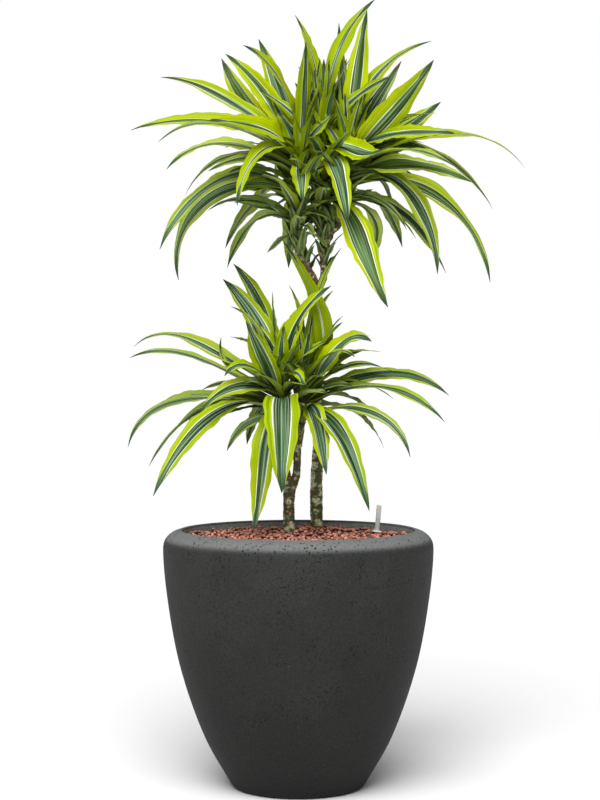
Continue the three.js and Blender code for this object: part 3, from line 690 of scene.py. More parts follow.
class Wiring:
    """Adds nodes to a material's or a group's tree and joins them."""

    NODES_IN_A_ROW = 12
    NODE_SPACING = (210, -260)

    def __init__(self, tree):
        self.tree = tree
        self.count = 0

    def add(self, kind, inputs=None, **settings):
        """Places a node, with its inputs by number or name."""
        node = self.tree.nodes.new(kind)
        row, column = divmod(self.count, self.NODES_IN_A_ROW)
        node.location = (self.NODE_SPACING[0] * column, self.NODE_SPACING[1] * row)
        self.count += 1
        for key, value in settings.items():
            setattr(node, key, value)
        for key, value in (inputs or {}).items():
            self.put(node.inputs[key], value)
        return node

    def put(self, socket, value):
        """Links a signal to a socket, or sets the socket to a plain value."""
        if isinstance(value, Signal):
            self.tree.links.new(value.socket, socket)
        else:
            socket.default_value = value

    def take(self, key, kind, inputs=None, **settings):
        """Places a node and takes one of its outputs."""
        return Signal(self, self.add(kind, inputs, **settings).outputs[key])

    def split(self, vector):
        """The three numbers of a vector."""
        return [Signal(self, socket) for socket in self.add("ShaderNodeSeparateXYZ", {0: vector}).outputs]

    def place(self):
        """Where a point is: x, y and z in metres."""
        return self.split(self.take("Object", "ShaderNodeTexCoord"))

    def attribute(self, name):
        """The three numbers of a per-point attribute."""
        return self.split(self.take("Vector", "ShaderNodeAttribute", attribute_name=name))

    def math(self, operation, *values, clamp=False):
        """A math node's result."""
        inputs = dict(enumerate(values))
        return self.take(0, "ShaderNodeMath", inputs, operation=operation, use_clamp=clamp)

    def mix(self, share, one, other, blend="MIX"):
        """The first colour with a share of the other in it."""
        inputs = {0: share, 6: self.rgba(one), 7: self.rgba(other)}
        return self.take(2, "ShaderNodeMix", inputs, data_type="RGBA", blend_type=blend)

    def rgba(self, value):
        """A colour as a socket takes it: a signal as it is, three numbers with an alpha of 1."""
        return value if isinstance(value, Signal) else (*value[:3], 1)

    def shaded(self, tone, shade):
        """The tone times a brightness."""
        grey = self.take(0, "ShaderNodeCombineColor", {0: shade, 1: shade, 2: shade})
        return self.mix(1.0, tone, grey, "MULTIPLY")

    def span(self, value, low, high, start=0.0, end=1.0, smoothly=False):
        """Takes the value's way from low to high as a way from start to end."""
        return self.take(
            0, "ShaderNodeMapRange", {0: value, 1: low, 2: high, 3: start, 4: end}, clamp=True,
            interpolation_type="SMOOTHSTEP" if smoothly else "LINEAR",
        )

    def group(self, name, **inputs):
        """Places one of the shared groups."""
        node = self.add("ShaderNodeGroup")
        node.node_tree = bpy.data.node_groups[name]
        for key, value in inputs.items():
            self.put(node.inputs[key], value)
        return [Signal(self, socket) for socket in node.outputs]

    def clouds(self, scale, detail, contrast):
        """Soft clouds from 0 to 1."""
        return self.group("Clouds", Scale=scale, Detail=detail, Contrast=contrast)[0]

    def pits(self, scale, size, share):
        """Small round pits: their mask and the height of the ground."""
        return self.group("Pits", Scale=scale, Size=size, Share=share)

    def streaks(self, across, along, count, drift, seed):
        """Streaks that run along a piece, from 0 to 1."""
        return self.group(
            "Lengthwise Streaks", Across=across, Along=along, Count=count, Drift=drift, Seed=seed,
        )[0]

    def bump(self, height, strength, distance):
        """The normal of a surface with that relief."""
        inputs = {"Height": height, "Strength": strength, "Distance": distance}
        return self.take(0, "ShaderNodeBump", inputs)

    def finish(self, normal=None, **inputs):
        """The surface itself; inputs are the Principled BSDF's, with _ for a space."""
        shader = self.add("ShaderNodeBsdfPrincipled")
        for key, value in inputs.items():
            socket = shader.inputs[key.replace("_", " ")]
            self.put(socket, self.rgba(value) if socket.type == "RGBA" else value)
        if normal is not None:
            self.put(shader.inputs["Normal"], normal)
        output = self.add("ShaderNodeOutputMaterial")
        self.tree.links.new(shader.outputs[0], output.inputs[0])


def new_material(name):
    """An empty material and its wiring."""
    material = bpy.data.materials.new(name)
    material.use_nodes = True
    material.node_tree.nodes.clear()
    return material, Wiring(material.node_tree)


def new_group(name, inputs, outputs):
    """An empty shader group; inputs are socket names with their start values."""
    tree = bpy.data.node_groups.new(name, "ShaderNodeTree")
    for socket, value in inputs.items():
        made = tree.interface.new_socket(socket, in_out="INPUT", socket_type="NodeSocketFloat")
        made.default_value = value
    for socket in outputs:
        tree.interface.new_socket(socket, in_out="OUTPUT", socket_type="NodeSocketFloat")
    wiring = Wiring(tree)
    sources = wiring.add("NodeGroupInput").outputs
    given = {key: Signal(wiring, sources[key]) for key in inputs}
    return wiring, given, wiring.add("NodeGroupOutput").inputs


def build_groups():
    """The effects that several finishes share."""
    if "Clouds" in bpy.data.node_groups:
        return
    w, given, out = new_group("Clouds", {"Scale": 10, "Detail": 3, "Contrast": 1}, ["Value"])
    where = w.take("Object", "ShaderNodeTexCoord")
    inputs = {"Vector": where, "Scale": given["Scale"], "Detail": given["Detail"]}
    noise = w.take(0, "ShaderNodeTexNoise", inputs)
    w.put(out["Value"], w.math("ADD", (noise - 0.5) * given["Contrast"], 0.5, clamp=True))

    w, given, out = new_group("Pits", {"Scale": 90, "Size": 0.12, "Share": 0.3}, ["Mask", "Height"])
    where = w.take("Object", "ShaderNodeTexCoord")
    cells = w.add("ShaderNodeTexVoronoi", {"Vector": where, "Scale": given["Scale"]}).outputs
    colours = w.add("ShaderNodeSeparateColor", {0: Signal(w, cells["Color"])}).outputs
    chosen = w.math("LESS_THAN", Signal(w, colours[0]), given["Share"])
    size = given["Size"] * (Signal(w, colours[1]) + 0.45)
    off = w.math("DIVIDE", Signal(w, cells["Distance"]), size)
    mask = w.span(off, 0.55, 1, 1, 0, smoothly=True) * chosen
    w.put(out["Mask"], mask)
    w.put(out["Height"], 1 - mask)

    w, given, out = new_group(
        "Lengthwise Streaks", {"Across": 0, "Along": 0, "Count": 8, "Drift": 1.5, "Seed": 0}, ["Value"],
    )
    vector = w.take(0, "ShaderNodeCombineXYZ", {
        0: given["Across"] * given["Count"], 1: given["Along"] * given["Drift"],
        2: given["Seed"] * SEED_STEP,
    })
    noise = w.take(0, "ShaderNodeTexNoise", {"Vector": vector, "Scale": 1.0, "Detail": 2.0})
    w.put(out["Value"], w.span(noise, 0.28, 0.72))


# ------------------------------------------------------------------ finishes


def planter_material(props):
    """Cast anthracite with clouds, grain and clustered pits, painted shade towards the foot, a rim of
    wear and painted sheen, and painted light on the inner wall.
    """
    material, w = new_material("planter_anthracite")
    clouds = w.clouds(9, 6, 2.4)
    patches = w.clouds(24, 4, 3)
    grain = w.clouds(330, 4, 2.6)
    ripple = w.clouds(85, 3, 1.5)
    pits = w.pits(165, 0.21, 0.42)
    small_pits = w.pits(250, 0.42, 0.5)
    specks = w.pits(210, 0.13, 0.1)
    x, y, z = w.place()
    _, _, up = w.split(w.take("Normal", "ShaderNodeNewGeometry"))

    tone = w.mix(clouds, props.dark, props.light)
    # Painted shade: darker towards the foot, varied at random by the grain.
    tone = w.shaded(tone, w.span(z, *FOOT_PAINTED_SHADE, 0.38, 1.08) * w.span(grain, 0, 1, 0.74, 1.36))
    tone = w.mix(specks[0] * 0.35, tone, props.rim)
    # Painted sheen with some wear: the upward-facing rim band is paler.
    painted_sheen_and_wear = w.span(z, *PAINTED_SHEEN_AND_WEAR_BAND, smoothly=True) * w.span(up, 0.05, 0.7, smoothly=True)
    tone = w.mix(painted_sheen_and_wear * w.span(grain, 0, 1, 0.7, 1), tone, props.rim)
    clustered = small_pits[0] * w.span(patches, 0.3, 0.75, 0.1, 1)
    holes = w.math("MAXIMUM", pits[0] * w.span(patches, 0.3, 0.6, 0.4, 1), clustered)
    tone = w.mix(holes, tone, props.pits)
    # Painted light: the inner wall above the granules is lighter, against the shadow of the crown.
    inner_painted_light = w.span(z, *INNER_PAINTED_LIGHT_BAND) * w.span(up, 0.3, 0.1)
    inner_painted_light = inner_painted_light * w.math("LESS_THAN", w.math("SQRT", x * x + y * y), INNER_PAINTED_LIGHT_RADIUS)
    tone = w.mix(inner_painted_light * w.span(grain, 0, 1, 0.35, 0.75), tone, props.inside)

    height = pits[1] + clustered * -0.5 + ripple * 0.5 + grain * 0.3
    w.finish(
        w.bump(height, 0.8, 0.0009), Base_Color=tone, Roughness=w.span(clouds, 0, 1, 0.66, 0.8),
        Specular_IOR_Level=0.22,
    )
    return material


def clay_material(props):
    """Fired clay; each lump's own tone and its painted shade and highlight, from how sunk a point lies,
    come with the mesh.
    """
    material, w = new_material("fired_clay")
    tint, painted_shade, _ = w.attribute("granule")
    grain = w.clouds(900, 2, 2)
    pores = w.pits(950, 0.3, 0.3)
    pale = w.math("MULTIPLY", tint, w.span(grain, 0, 1, 0.7, 1.3), clamp=True)
    tone = w.mix(pale, props.dark, props.light)
    tone = w.mix(pores[0] * 0.6, tone, props.dark)
    # Painted light: bright tops of the lumps, painted shade low down and in the filling.
    tone = w.shaded(tone, w.span(painted_shade, 0, 1, 1.42, 0.04))
    w.finish(
        w.bump(grain + pores[1], 0.6, 0.0005), Base_Color=tone, Roughness=w.span(grain, 0, 1, 0.75, 0.95),
    )
    return material


def bark_material(props):
    """Green bark in pale patches, with red-brown ring scars; the places come with the mesh."""
    material, w = new_material("cane_bark")
    around, along, scar = w.attribute("bark_place")
    brown, seed, stub = w.attribute("bark_tone")
    streak = w.streaks(around, along, 18, 90, seed)
    patch = w.streaks(around, along, 2.4, 70, seed)
    grain = w.clouds(420, 3, 2.4)
    mottle = w.clouds(150, 4, 3)
    pits = w.pits(330, 0.3, 0.45)

    tone = w.mix(w.span(patch, 0.38, 0.72, smoothly=True), props.green, props.pale)
    tone = w.mix(w.span(streak, 0.5, 0.9) * 0.35, tone, props.green)
    tone = w.mix(w.span(brown + (mottle - 0.5), 0.25, 0.8), tone, props.brown)
    tone = w.mix(w.span(mottle, 0.78, 0.95, smoothly=True) * 0.5, tone, props.scar)
    tone = w.mix(w.span(scar, 0.04, 0.35, 0, 0.75, smoothly=True), tone, props.brown)
    tone = w.mix(w.span(scar, 0.35, 0.7) * w.span(grain, 0.2, 0.8, 0.8, 1), tone, props.scar)
    tone = w.mix(stub, tone, w.mix(grain, props.scar, props.brown))
    tone = w.shaded(tone, w.span(grain, 0, 1, 0.6, 1.45) * w.span(pits[0], 0, 1, 1, 0.5))

    height = streak * 0.6 + mottle * 0.8 + grain + pits[1] * 0.5
    w.finish(
        w.bump(height, 0.8, 0.0009), Base_Color=tone, Roughness=w.span(grain, 0, 1, 0.6, 0.85),
        Specular_IOR_Level=0.35,
    )
    return material


def leaf_material(props):
    """The striped blade: green centre, cream lines and lime margins, from per-point values."""
    material, w = new_material("striped_leaf")
    across, along, upper = w.attribute("leaf_place")
    minus, plus, seed = w.attribute("leaf_band")
    age, dry, light = w.attribute("leaf_look")
    right = w.math("GREATER_THAN", across, 0.0)
    band = right * plus + (1 - right) * minus
    tip = w.span(along, 0.8, 0.99, smoothly=True)
    band = band + (1.05 - band) * tip
    fine = w.streaks(across, along, 19, 1.3, seed)
    broad = w.streaks(across, along, 6, 1, seed)
    fade = w.streaks(right, along, 9, 2.4, seed)
    half = abs(across) + (broad - 0.5) * 0.05
    place = half - band

    veins = fine * 0.5 + broad * 0.5
    centre = w.mix(w.span(veins, 0.34, 0.66, smoothly=True), props.centre_dark, props.centre)
    centre = w.mix(w.span(broad + fine * 0.4, 0.75, 1.15) * 0.75, centre, props.centre_pale)
    # Painted shade: with less light the margin turns deeper green; the light also turns a lit leaf's
    # centre olive.
    olive = w.mix(veins, props.centre_dark, props.lime_deep)
    centre = w.mix(w.span(light, 0.45, 1, 0, 0.55), centre, olive)
    centre = w.mix(w.span(fine, 0.74, 0.92, smoothly=True) * 0.38, centre, props.cream)
    centre = w.mix(tip * 0.7, centre, props.centre_dark)

    margin = w.mix(w.span(fine + broad, 0.3, 1.4), props.lime_deep, props.lime)
    margin = w.mix(w.span(light, 0, 1, 0.5, 0), margin, props.lime_deep)
    margin = w.mix(age, margin, w.mix(fine * 0.6, props.lime_deep, props.cream))
    tone = w.mix(w.span(place, 0, 0.014, smoothly=True), centre, margin)

    line = w.span(place, -0.045, -0.012, smoothly=True) * w.span(place, 0.012, 0.055, 1, 0, smoothly=True)
    line = line * w.span(along, 0.88, 0.98, 1, 0) * w.span(fade, 0.15, 0.65, 0.12, 1, smoothly=True)
    tone = w.mix(line, tone, props.cream)
    inner = w.span(abs(half - band * 0.62), 0.01, 0.036, 1, 0, smoothly=True)
    inner = inner * w.span(fade, 0.4, 0.9, 0, 0.6) * w.span(along, 0.05, 0.8, 1, 0)
    tone = w.mix(inner, tone, props.cream)

    aged = w.mix(0.6, tone, w.mix(fine, props.centre_dark, props.lime_deep))
    tone = w.mix(age * 0.6, tone, aged)
    # Painted shade: darker towards the base of each blade and for a leaf whose light is below 0; old
    # leaves are darker too.
    shade = w.span(along + broad * 0.12, 0.02, 0.42, 0.42, 1)
    tone = w.shaded(tone, shade * w.span(age, 0.1, 0.9, 1, 0.55) * w.span(light, -1, 0, 0.62, 1))
    tone = w.mix(w.span(upper, -1, 1, 1, 0) * 0.07, tone, props.lime_deep)
    gone = along - w.span(dry, 0, 1, 1.04, 0.55) + w.clouds(60, 3, 2) * 0.03
    withered = w.span(gone, 0, 0.03, smoothly=True) * w.math("GREATER_THAN", dry, 0.01)
    tone = w.mix(withered, tone, w.mix(fine, props.dry, props.centre_dark))
    w.finish(
        w.bump(fine + broad * 1.2, 0.4, 0.0007), Base_Color=tone,
        Roughness=w.span(fine, 0, 1, 0.36, 0.5) + age * 0.18, Specular_IOR_Level=0.08,
    )
    return material


def sheath_material(props):
    """Old leaf bases that clasp the stem below the crown."""
    material, w = new_material("old_leaf_base")
    across, along, _ = w.attribute("leaf_place")
    _, _, seed = w.attribute("leaf_band")
    age, _, _ = w.attribute("leaf_look")
    fine = w.streaks(across, along, 16, 1.5, seed)
    green = w.mix(w.span(fine, 0.2, 0.9), props.centre_dark, props.lime_deep)
    green = w.mix(w.span(fine, 0.78, 0.92), green, props.cream)
    straw = w.mix(fine, props.dry, props.straw)
    tone = w.mix(w.span(age + w.clouds(260, 3, 2) * 0.3, 0.65, 1.05), green, straw)
    tone = w.mix(w.span(along, 0.8, 1) * age, tone, props.dry)
    w.finish(
        w.bump(fine, 0.6, 0.0005), Base_Color=tone, Roughness=w.span(fine, 0, 1, 0.6, 0.8),
        Specular_IOR_Level=0.28,
    )
    return material


# ------------------------------------------------------------------ planter


def planter_profile():
    """The planter's outline from the middle of its underside to the middle of its floor."""
    foot_in = np.array([POT_FOOT - POT_FOOT_ROUND, 0.0])
    slope = unit(np.array([POT_WALL[0][0] - POT_FOOT, POT_WALL[0][1]]))
    corner = np.array([POT_FOOT, 0.0])
    foot_out = corner + slope * POT_FOOT_ROUND
    t = np.linspace(0, 1, 9)[:, None]
    foot = foot_in * (1 - t) ** 2 + 2 * corner * t * (1 - t) + foot_out * t ** 2

    def smoothed(points, steps):
        flat = [(r, z, 0) for r, z in points]
        return flowing(flat, steps)[:, :2]

    wall = smoothed([tuple(foot_out), *POT_WALL, *POT_RIM], 9)
    lip = smoothed([POT_RIM[-1], *POT_LIP, POT_INSIDE[0]], 6)
    inside = smoothed(POT_INSIDE, 6)
    under = np.array([(radius, 0.0) for radius in (NEAR_AXIS, 40, 80)])
    floor = np.array([(radius, POT_FLOOR) for radius in (60, NEAR_AXIS)])
    return np.vstack([under, foot, wall[1:], lip[1:], inside[1:], floor])


class DRACAENA_OT_planter(bpy.types.Operator):
    """Builds the round anthracite planter"""

    bl_idname = "dracaena.planter"
    bl_label = "Planter"

    def execute(self, context):
        props = context.scene.dracaena_planter
        skin = Skin()
        skin.tube(turned(planter_profile(), props.sides))
        settle(skin.piece("planter_shell", planter_material(props)), "planter", "planter")
        return {"FINISHED"}


# ------------------------------------------------------------------ granules


def bed_height(x, y, level):
    """Height of the granule bed, heaped a little round the canes."""
    distance = np.hypot(x - BED_MOUND["x"], y - BED_MOUND["y"])
    swell = 1.2 * np.sin(x / 23 + 1) * np.sin(y / 19) + 0.7 * np.sin(x / 9.5) * np.cos(y / 8.3)
    return level + BED_MOUND["rise"] * np.exp(-((distance / BED_MOUND["spread"]) ** 2)) + swell


def lump_shapes(rng, count):
    """Rounded lumps of unit radius, as points, and the faces that they share."""
    bpy.ops.mesh.primitive_ico_sphere_add(subdivisions=2, radius=1)
    ball = bpy.context.active_object
    points = np.array([v.co for v in ball.data.vertices])
    faces = np.array([tuple(p.vertices) for p in ball.data.polygons])
    bpy.data.objects.remove(ball)
    shapes = []
    for _ in range(count):
        bumps = rng.normal(size=(5, 3))
        lobes = np.sum([np.maximum(points @ (b / np.linalg.norm(b)), 0) ** 3 for b in bumps], axis=0)
        radius = 0.88 + 0.13 * lobes + rng.uniform(-0.05, 0.05, len(points))
        shapes.append(points * radius[:, None])
    return shapes, faces


def turn_matrix(rng):
    """A random rotation."""
    axis, other = rng.normal(size=3), rng.normal(size=3)
    axis = unit(axis)
    side = unit(np.cross(axis, other))
    return np.stack([axis, side, np.cross(axis, side)])


class DRACAENA_OT_granules(bpy.types.Operator):
    """Builds the clay granule bed, lump by lump, with the filling under it"""

    bl_idname = "dracaena.granules"
    bl_label = "Clay granules"

    def execute(self, context):
        props = context.scene.dracaena_granules
        spacing, mean, level = props.spacing / MM, props.radius / MM, props.level / MM
        rng = np.random.default_rng(LUMP_SEED)
        skin = Skin("granule")
        self.filling(skin, level)
        shapes, faces = lump_shapes(rng, LUMP_KINDS)
        brim = POT_INSIDE[0][0] - mean * 0.6
        reach = int(brim / spacing) + 2
        for row in range(-reach, reach + 1):
            for column in range(-reach, reach + 1):
                x = (column + (row % 2) / 2 + rng.uniform(-LUMP_STRAY, LUMP_STRAY)) * spacing
                y = (row + rng.uniform(-LUMP_STRAY, LUMP_STRAY)) * spacing * LUMP_ROW
                size = mean * rng.uniform(*LUMP_SIZE) * rng.uniform(*LUMP_STRETCH, 3)
                lift = LUMP_LOWEST + LUMP_RANGE * rng.uniform() ** LUMP_CROWDING
                tint, kind = rng.uniform(0, 1), rng.integers(LUMP_KINDS)
                turn = turn_matrix(rng)
                if math.hypot(x, y) > brim or self.taken(x, y, mean):
                    continue
                centre = (x, y, float(bed_height(x, y, level)) + lift - mean * LUMP_SUNK)
                points = (shapes[kind] * size) @ turn + centre
                # Painted shade: the lower sides of each lump, and the whole of a low lump.
                side = (centre[2] + mean * LUMP_LIT - points[:, 2]) / (LUMP_SHADED * mean)
                low = np.clip((LUMP_DEEP - lift) / LUMP_DARKENS, 0, LUMP_DARKEST)
                painted_shade = np.maximum(np.clip(side, 0, 1), low)
                values = np.stack([np.full(len(points), tint), painted_shade, np.zeros(len(points))], axis=1)
                skin.add(points, faces, granule=values)
        made = skin.piece("clay_granule_bed", clay_material(props))
        settle(made, "clay", "clay_granules")
        return {"FINISHED"}

    def taken(self, x, y, clear):
        """True where a cane or the gauge stands."""
        stands = [cane["trunk"][0] for cane in CANES.values()] + [(*GAUGE_FOOT, GAUGE_HOLE)]
        return any(math.hypot(x - a, y - b) < radius + clear * 0.55 for a, b, _, radius in stands)

    def filling(self, skin, level):
        """The closed body of granules below the top layer, in full painted shade."""
        inside = [(r - FILLING_GAP, z + FILLING_GAP) for r, z in reversed(POT_INSIDE)]
        edge = (POT_INSIDE[0][0] - FILLING_GAP, level - 3)
        side = turned([(NEAR_AXIS, POT_FLOOR + FILLING_GAP), *inside, edge], FILLING_SIDES)
        top = turned([(r, 0) for r in (178, *range(160, 0, -20), NEAR_AXIS)], FILLING_SIDES)
        top[..., 2] = bed_height(top[..., 0], top[..., 1], level - 3.4)
        # Painted shade: the filling gets the full painted shade of the gaps between the lumps.
        skin.tube(np.concatenate([side, top]), granule=np.array([0.3, 1.0, 0.0]))


# ------------------------------------------------------------------ canes


def bark_rings(points, draw, settings, brown=(0, 0), stub=None):
    """Rings of a cane with scars and small swellings, and their colour values.

    brown is the browning at both ends, stub the height below which the cut foot shows red-brown.
    """
    step, sides = settings.step / MM, settings.sides
    line = flowing(points, 24)
    long = np.linalg.norm(np.diff(line[:, :3], axis=0), axis=1).sum()
    spaced, way, at = even(line, max(6, int(long / step)))
    side = unit(np.cross(np.array([0.0, 1.0, 0.0]), way))
    back = np.cross(way, side)
    angle = np.arange(sides) * 2 * math.pi / sides
    seed = next(draw)
    swell = BARK_SWELL[0] * np.sin(at[:, None] / 5.3 + 6 * seed + 2 * angle)
    swell = swell + BARK_SWELL[1] * np.sin(at[:, None] / 2.9 + 3 * angle)
    scar = np.zeros((len(at), sides))
    lift = np.zeros((len(at), sides))
    place = 3 + 6 * next(draw)
    while place < long - 2:
        lean, tilted = SCAR_LEAN * (next(draw) - 0.5), SCAR_TURN * next(draw)
        reach = 0.45 + 0.55 * next(draw)
        off = at[:, None] - place - lean * np.cos(angle - tilted)
        off = off + 0.7 * np.sin(3 * angle + 9 * reach) + 0.4 * np.sin(7 * angle + 5 * lean)
        part = np.clip(0.1 + reach + 0.6 * np.cos(angle - SCAR_TURN * next(draw)), 0, 1)
        scar = np.maximum(scar, np.exp(-(off / between(SCAR_WIDTH, next(draw))) ** 2) * part)
        lift = lift + SCAR_RIDGE * np.exp(-(off / SCAR_RIDGE_HALF) ** 2) * (0.35 + 0.65 * part)
        lift = lift - SCAR_GROOVE * np.exp(-((off - SCAR_GROOVE_OFF) / SCAR_GROOVE_HALF) ** 2)
        place += SCAR_APART[0] + SCAR_APART[1] * next(draw)
    radius = spaced[:, 3:4] + swell + lift
    spoke = np.cos(angle)[:, None] * side[:, None] + np.sin(angle)[:, None] * back[:, None]
    rings = spaced[:, None, :3] + radius[..., None] * spoke
    around = np.broadcast_to(np.abs((angle / math.pi) - 1), scar.shape)
    along = np.broadcast_to(at[:, None] * MM, scar.shape)
    browning = np.broadcast_to(between(brown, at / at[-1])[:, None], scar.shape)
    foot = np.zeros(scar.shape)
    if stub is not None:
        foot = smooth((stub + 1.6 * np.sin(2 * angle) - rings[..., 2]) / 4)
    bark = np.stack([around, along, scar], axis=2)
    tone = np.stack([browning, np.full(scar.shape, seed), foot], axis=2)
    return rings, bark, tone


class DRACAENA_OT_canes(bpy.types.Operator):
    """Builds the two cut canes with their ring scars and bare arms"""

    bl_idname = "dracaena.canes"
    bl_label = "Canes"

    def execute(self, context):
        props = context.scene.dracaena_canes
        material = bark_material(props)
        for name, cane in CANES.items():
            draw = seeded(cane["seed"])
            skin = Skin("bark_place", "bark_tone")
            trunk_brown, limb_brown = cane["brown"]
            parts = [(cane["trunk"], trunk_brown, cane["stub"])]
            parts += [(limb, limb_brown, None) for limb in cane["limbs"]]
            for points, brown, stub in parts:
                rings, bark, tone = bark_rings(points, draw, props, brown, stub)
                skin.tube(rings, bark_place=bark, bark_tone=tone)
            settle(skin.piece(f"{name}_bark", material), "cane", name)
            self.old_leaves(context, name, cane, draw)
        return {"FINISHED"}

    def old_leaves(self, context, name, cane, draw):
        """Short dull leaves and dry bases that are left on the arms below the crowns."""
        props = context.scene.dracaena_leaves
        bases, leaves = Skin(*LEAF_VALUES), Skin(*LEAF_VALUES)
        for limb, share, count in ARM_LEAVES[name]:
            line = flowing(cane["limbs"][limb], 12)[:, :3]
            bare = line[int(len(line) * share):]
            clasp(bases, bare, ARM_THICK, count, **ARM_BASES, fine=draw)
            if count > ARM_BASES_ONLY:
                clasp(leaves, bare, ARM_THICK, count, **ARM_SHORT_LEAVES, fine=draw)
        settle(bases.piece(f"{name}_dry_bases", sheath_material(props)), "leaf")
        if leaves.count:
            settle(leaves.piece(f"{name}_short_leaves", leaf_material(props)), "leaf")


# ------------------------------------------------------------------ leaves and shoots


def toward(heading):
    """A level unit vector for a heading in degrees."""
    angle = math.radians(heading)
    return np.array([math.cos(angle), math.sin(angle), 0.0])


def midrib(root, row, count):
    """Even points along a leaf's midrib and the way it goes there."""
    _, heading, reach, rise, launch, landing = row[:6]
    out = toward(heading)
    up = np.array([0.0, 0.0, 1.0])
    tip = root + out * reach + up * rise
    turn = math.radians(max(abs(launch - landing), 1))
    handle = math.hypot(reach, rise) * math.tan(turn / 4) / (1.5 * math.sin(turn / 2))

    def along(slope):
        return handle * (math.cos(math.radians(slope)) * out + math.sin(math.radians(slope)) * up)

    corners = [root, root + along(launch), tip - along(landing), tip]
    t = np.linspace(0, 1, 160)[:, None]
    weights = [(1 - t) ** 3, 3 * t * (1 - t) ** 2, 3 * t ** 2 * (1 - t), t ** 3]
    line = sum(weight * corner for weight, corner in zip(weights, corners))
    return even(line, count)[:2]


def leaf_outline(at, base_width):
    """Share of the full width at a place along the leaf."""
    opening = base_width + (1 - base_width) * smooth(at / LEAF_WIDEST)
    tip = 1 - LEAF_TIP_SLIMMER * smooth((at - LEAF_TIP_FROM) / LEAF_TIP_OVER)
    return opening * (1 - at ** LEAF_TAPER) * tip


def add_leaf(skin, root, row, phase, draw, segments, look, base_width=LEAF_BASE_WIDTH, base_fold=1.1):
    """One thin closed blade, folded along its midrib, with waved edges."""
    width, roll = row[6:]
    centre, way = midrib(root, row, segments + 1)
    at = np.linspace(0, 1, segments + 1)
    sway, ripple, ripple_shift = next(draw), next(draw), next(draw)
    heading = math.radians(row[1])
    across = np.array([-math.sin(heading), math.cos(heading), 0.0])
    above = np.cross(way, across)
    turn = np.radians(roll) * np.minimum(at / LEAF_ROLL_IN, 1)
    turn = turn + math.radians(LEAF_TWIST) * np.sin(2.6 * math.pi * at + 6 * sway) * np.sin(math.pi * at)
    side = across * np.cos(turn)[:, None] + above * np.sin(turn)[:, None]
    face = above * np.cos(turn)[:, None] - across * np.sin(turn)[:, None]

    # How a cross-section rises from its middle: the fold, the slow waves and the ripples.
    u = LEAF_COLUMNS
    half = np.maximum(width / 2 * leaf_outline(at, base_width), LEAF_NARROWEST)
    fold = between(LEAF_FOLD, 1 - (1 - at) ** 2) + base_fold * np.exp(-(at / 0.06) ** 2)
    calm = np.sin(math.pi * at) * width * LEAF_WAVE_HEIGHT
    waves = 2 * math.pi * LEAF_WAVES * at + phase
    shift = np.where(u < 0, LEAF_WAVE_SHIFT, 0)
    lift = np.sin(waves[:, None] + shift) * calm[:, None] * np.abs(u) ** 1.5
    fast = 2 * math.pi * (LEAF_RIPPLES[0] + LEAF_RIPPLES[1] * ripple) * at[:, None]
    fast = fast + 6 * ripple_shift + shift * 3
    lift = lift + np.sin(fast) * (calm * between((0.25, 0.75), ripple))[:, None] * np.abs(u) ** 3
    lift = lift + (half * fold)[:, None] * (np.sqrt(u ** 2 + LEAF_CREASE) - math.sqrt(LEAF_CREASE))
    frayed = 1 + LEAF_FRAYED * np.sin(fast * 0.63 + 1.3) * np.abs(u) ** 3
    middle = (
        centre[:, None] + side[:, None] * (half[:, None] * u * frayed)[..., None]
        + face[:, None] * lift[..., None]
    )

    # Half of the thickness goes to each side of that surface.
    slant = np.sign(u) * np.clip(fold[:, None], 0, 2) * (np.abs(u) > 0.05)
    out = unit(face[:, None] - side[:, None] * slant[..., None])
    thick = LEAF_EDGE + (between(LEAF_THICK, at)[:, None] - LEAF_EDGE) * (1 - np.abs(u)) ** 1.4
    thick = thick * np.minimum(1, 0.35 + (1 - at) * 6)[:, None]
    top = middle + out * (thick / 2)[..., None]
    bottom = middle - out * (thick / 2)[..., None]
    rings = np.concatenate([top[:, ::-1], bottom], axis=1)
    columns = np.concatenate([u[::-1], u])
    upper = np.concatenate([np.ones(len(u)), -np.ones(len(u))])
    shape = rings.shape[:2]
    place = np.stack([np.broadcast_to(v, shape) for v in (columns, at[:, None], upper)], axis=2)
    minus, plus, age, dry, light = look
    skin.tube(
        rings, leaf_place=place, leaf_band=np.array([minus, plus, sway]),
        leaf_look=np.array([age, dry, light]),
    )


def clasp(skin, line, out, count, lengths, widths, ages, fine):
    """Short leaves that clasp a stem along a line and turn by the golden angle."""
    spots, _, _ = even(line, count)
    for k, spot in enumerate(spots):
        high = k / count
        heading = (k * GOLDEN_ANGLE + 40) % 360
        size = between(lengths, high) * (0.75 + 0.7 * next(fine))
        launch = 62 + 20 * next(fine)
        reach = size * math.cos(math.radians(launch - 12))
        rise = size * math.sin(math.radians(launch - 12))
        row = (0, heading, reach, rise, launch, launch - 50 + 30 * next(fine), between(widths, high), 0)
        look = (0.55, 0.55, between(ages, high), 0, 0.5)
        root = spot + toward(heading) * out
        add_leaf(skin, root, row, 6 * next(fine), fine, 10, look, base_width=0.8, base_fold=0.4)


def far_rows(shoot, draw):
    """Leaf rows for the far side of a shoot, by the golden angle inside its sector."""
    count, middle, sector, reaches, launches, width = shoot["far"]
    rows = []
    height = shoot["crest"][2] - shoot["foot"][2]
    for k in range(count):
        high = k / count
        heading = middle - sector / 2 + ((k + 1) * GOLDEN_ANGLE) % sector
        reach = between(reaches, next(draw)) * between(FAR_SHARE, high)
        rows.append((
            height * between(FAR_UP, high), heading, reach, reach * between(FAR_RISE, high),
            between(launches, high), between(FAR_LANDING, high), width, 0,
        ))
    return rows


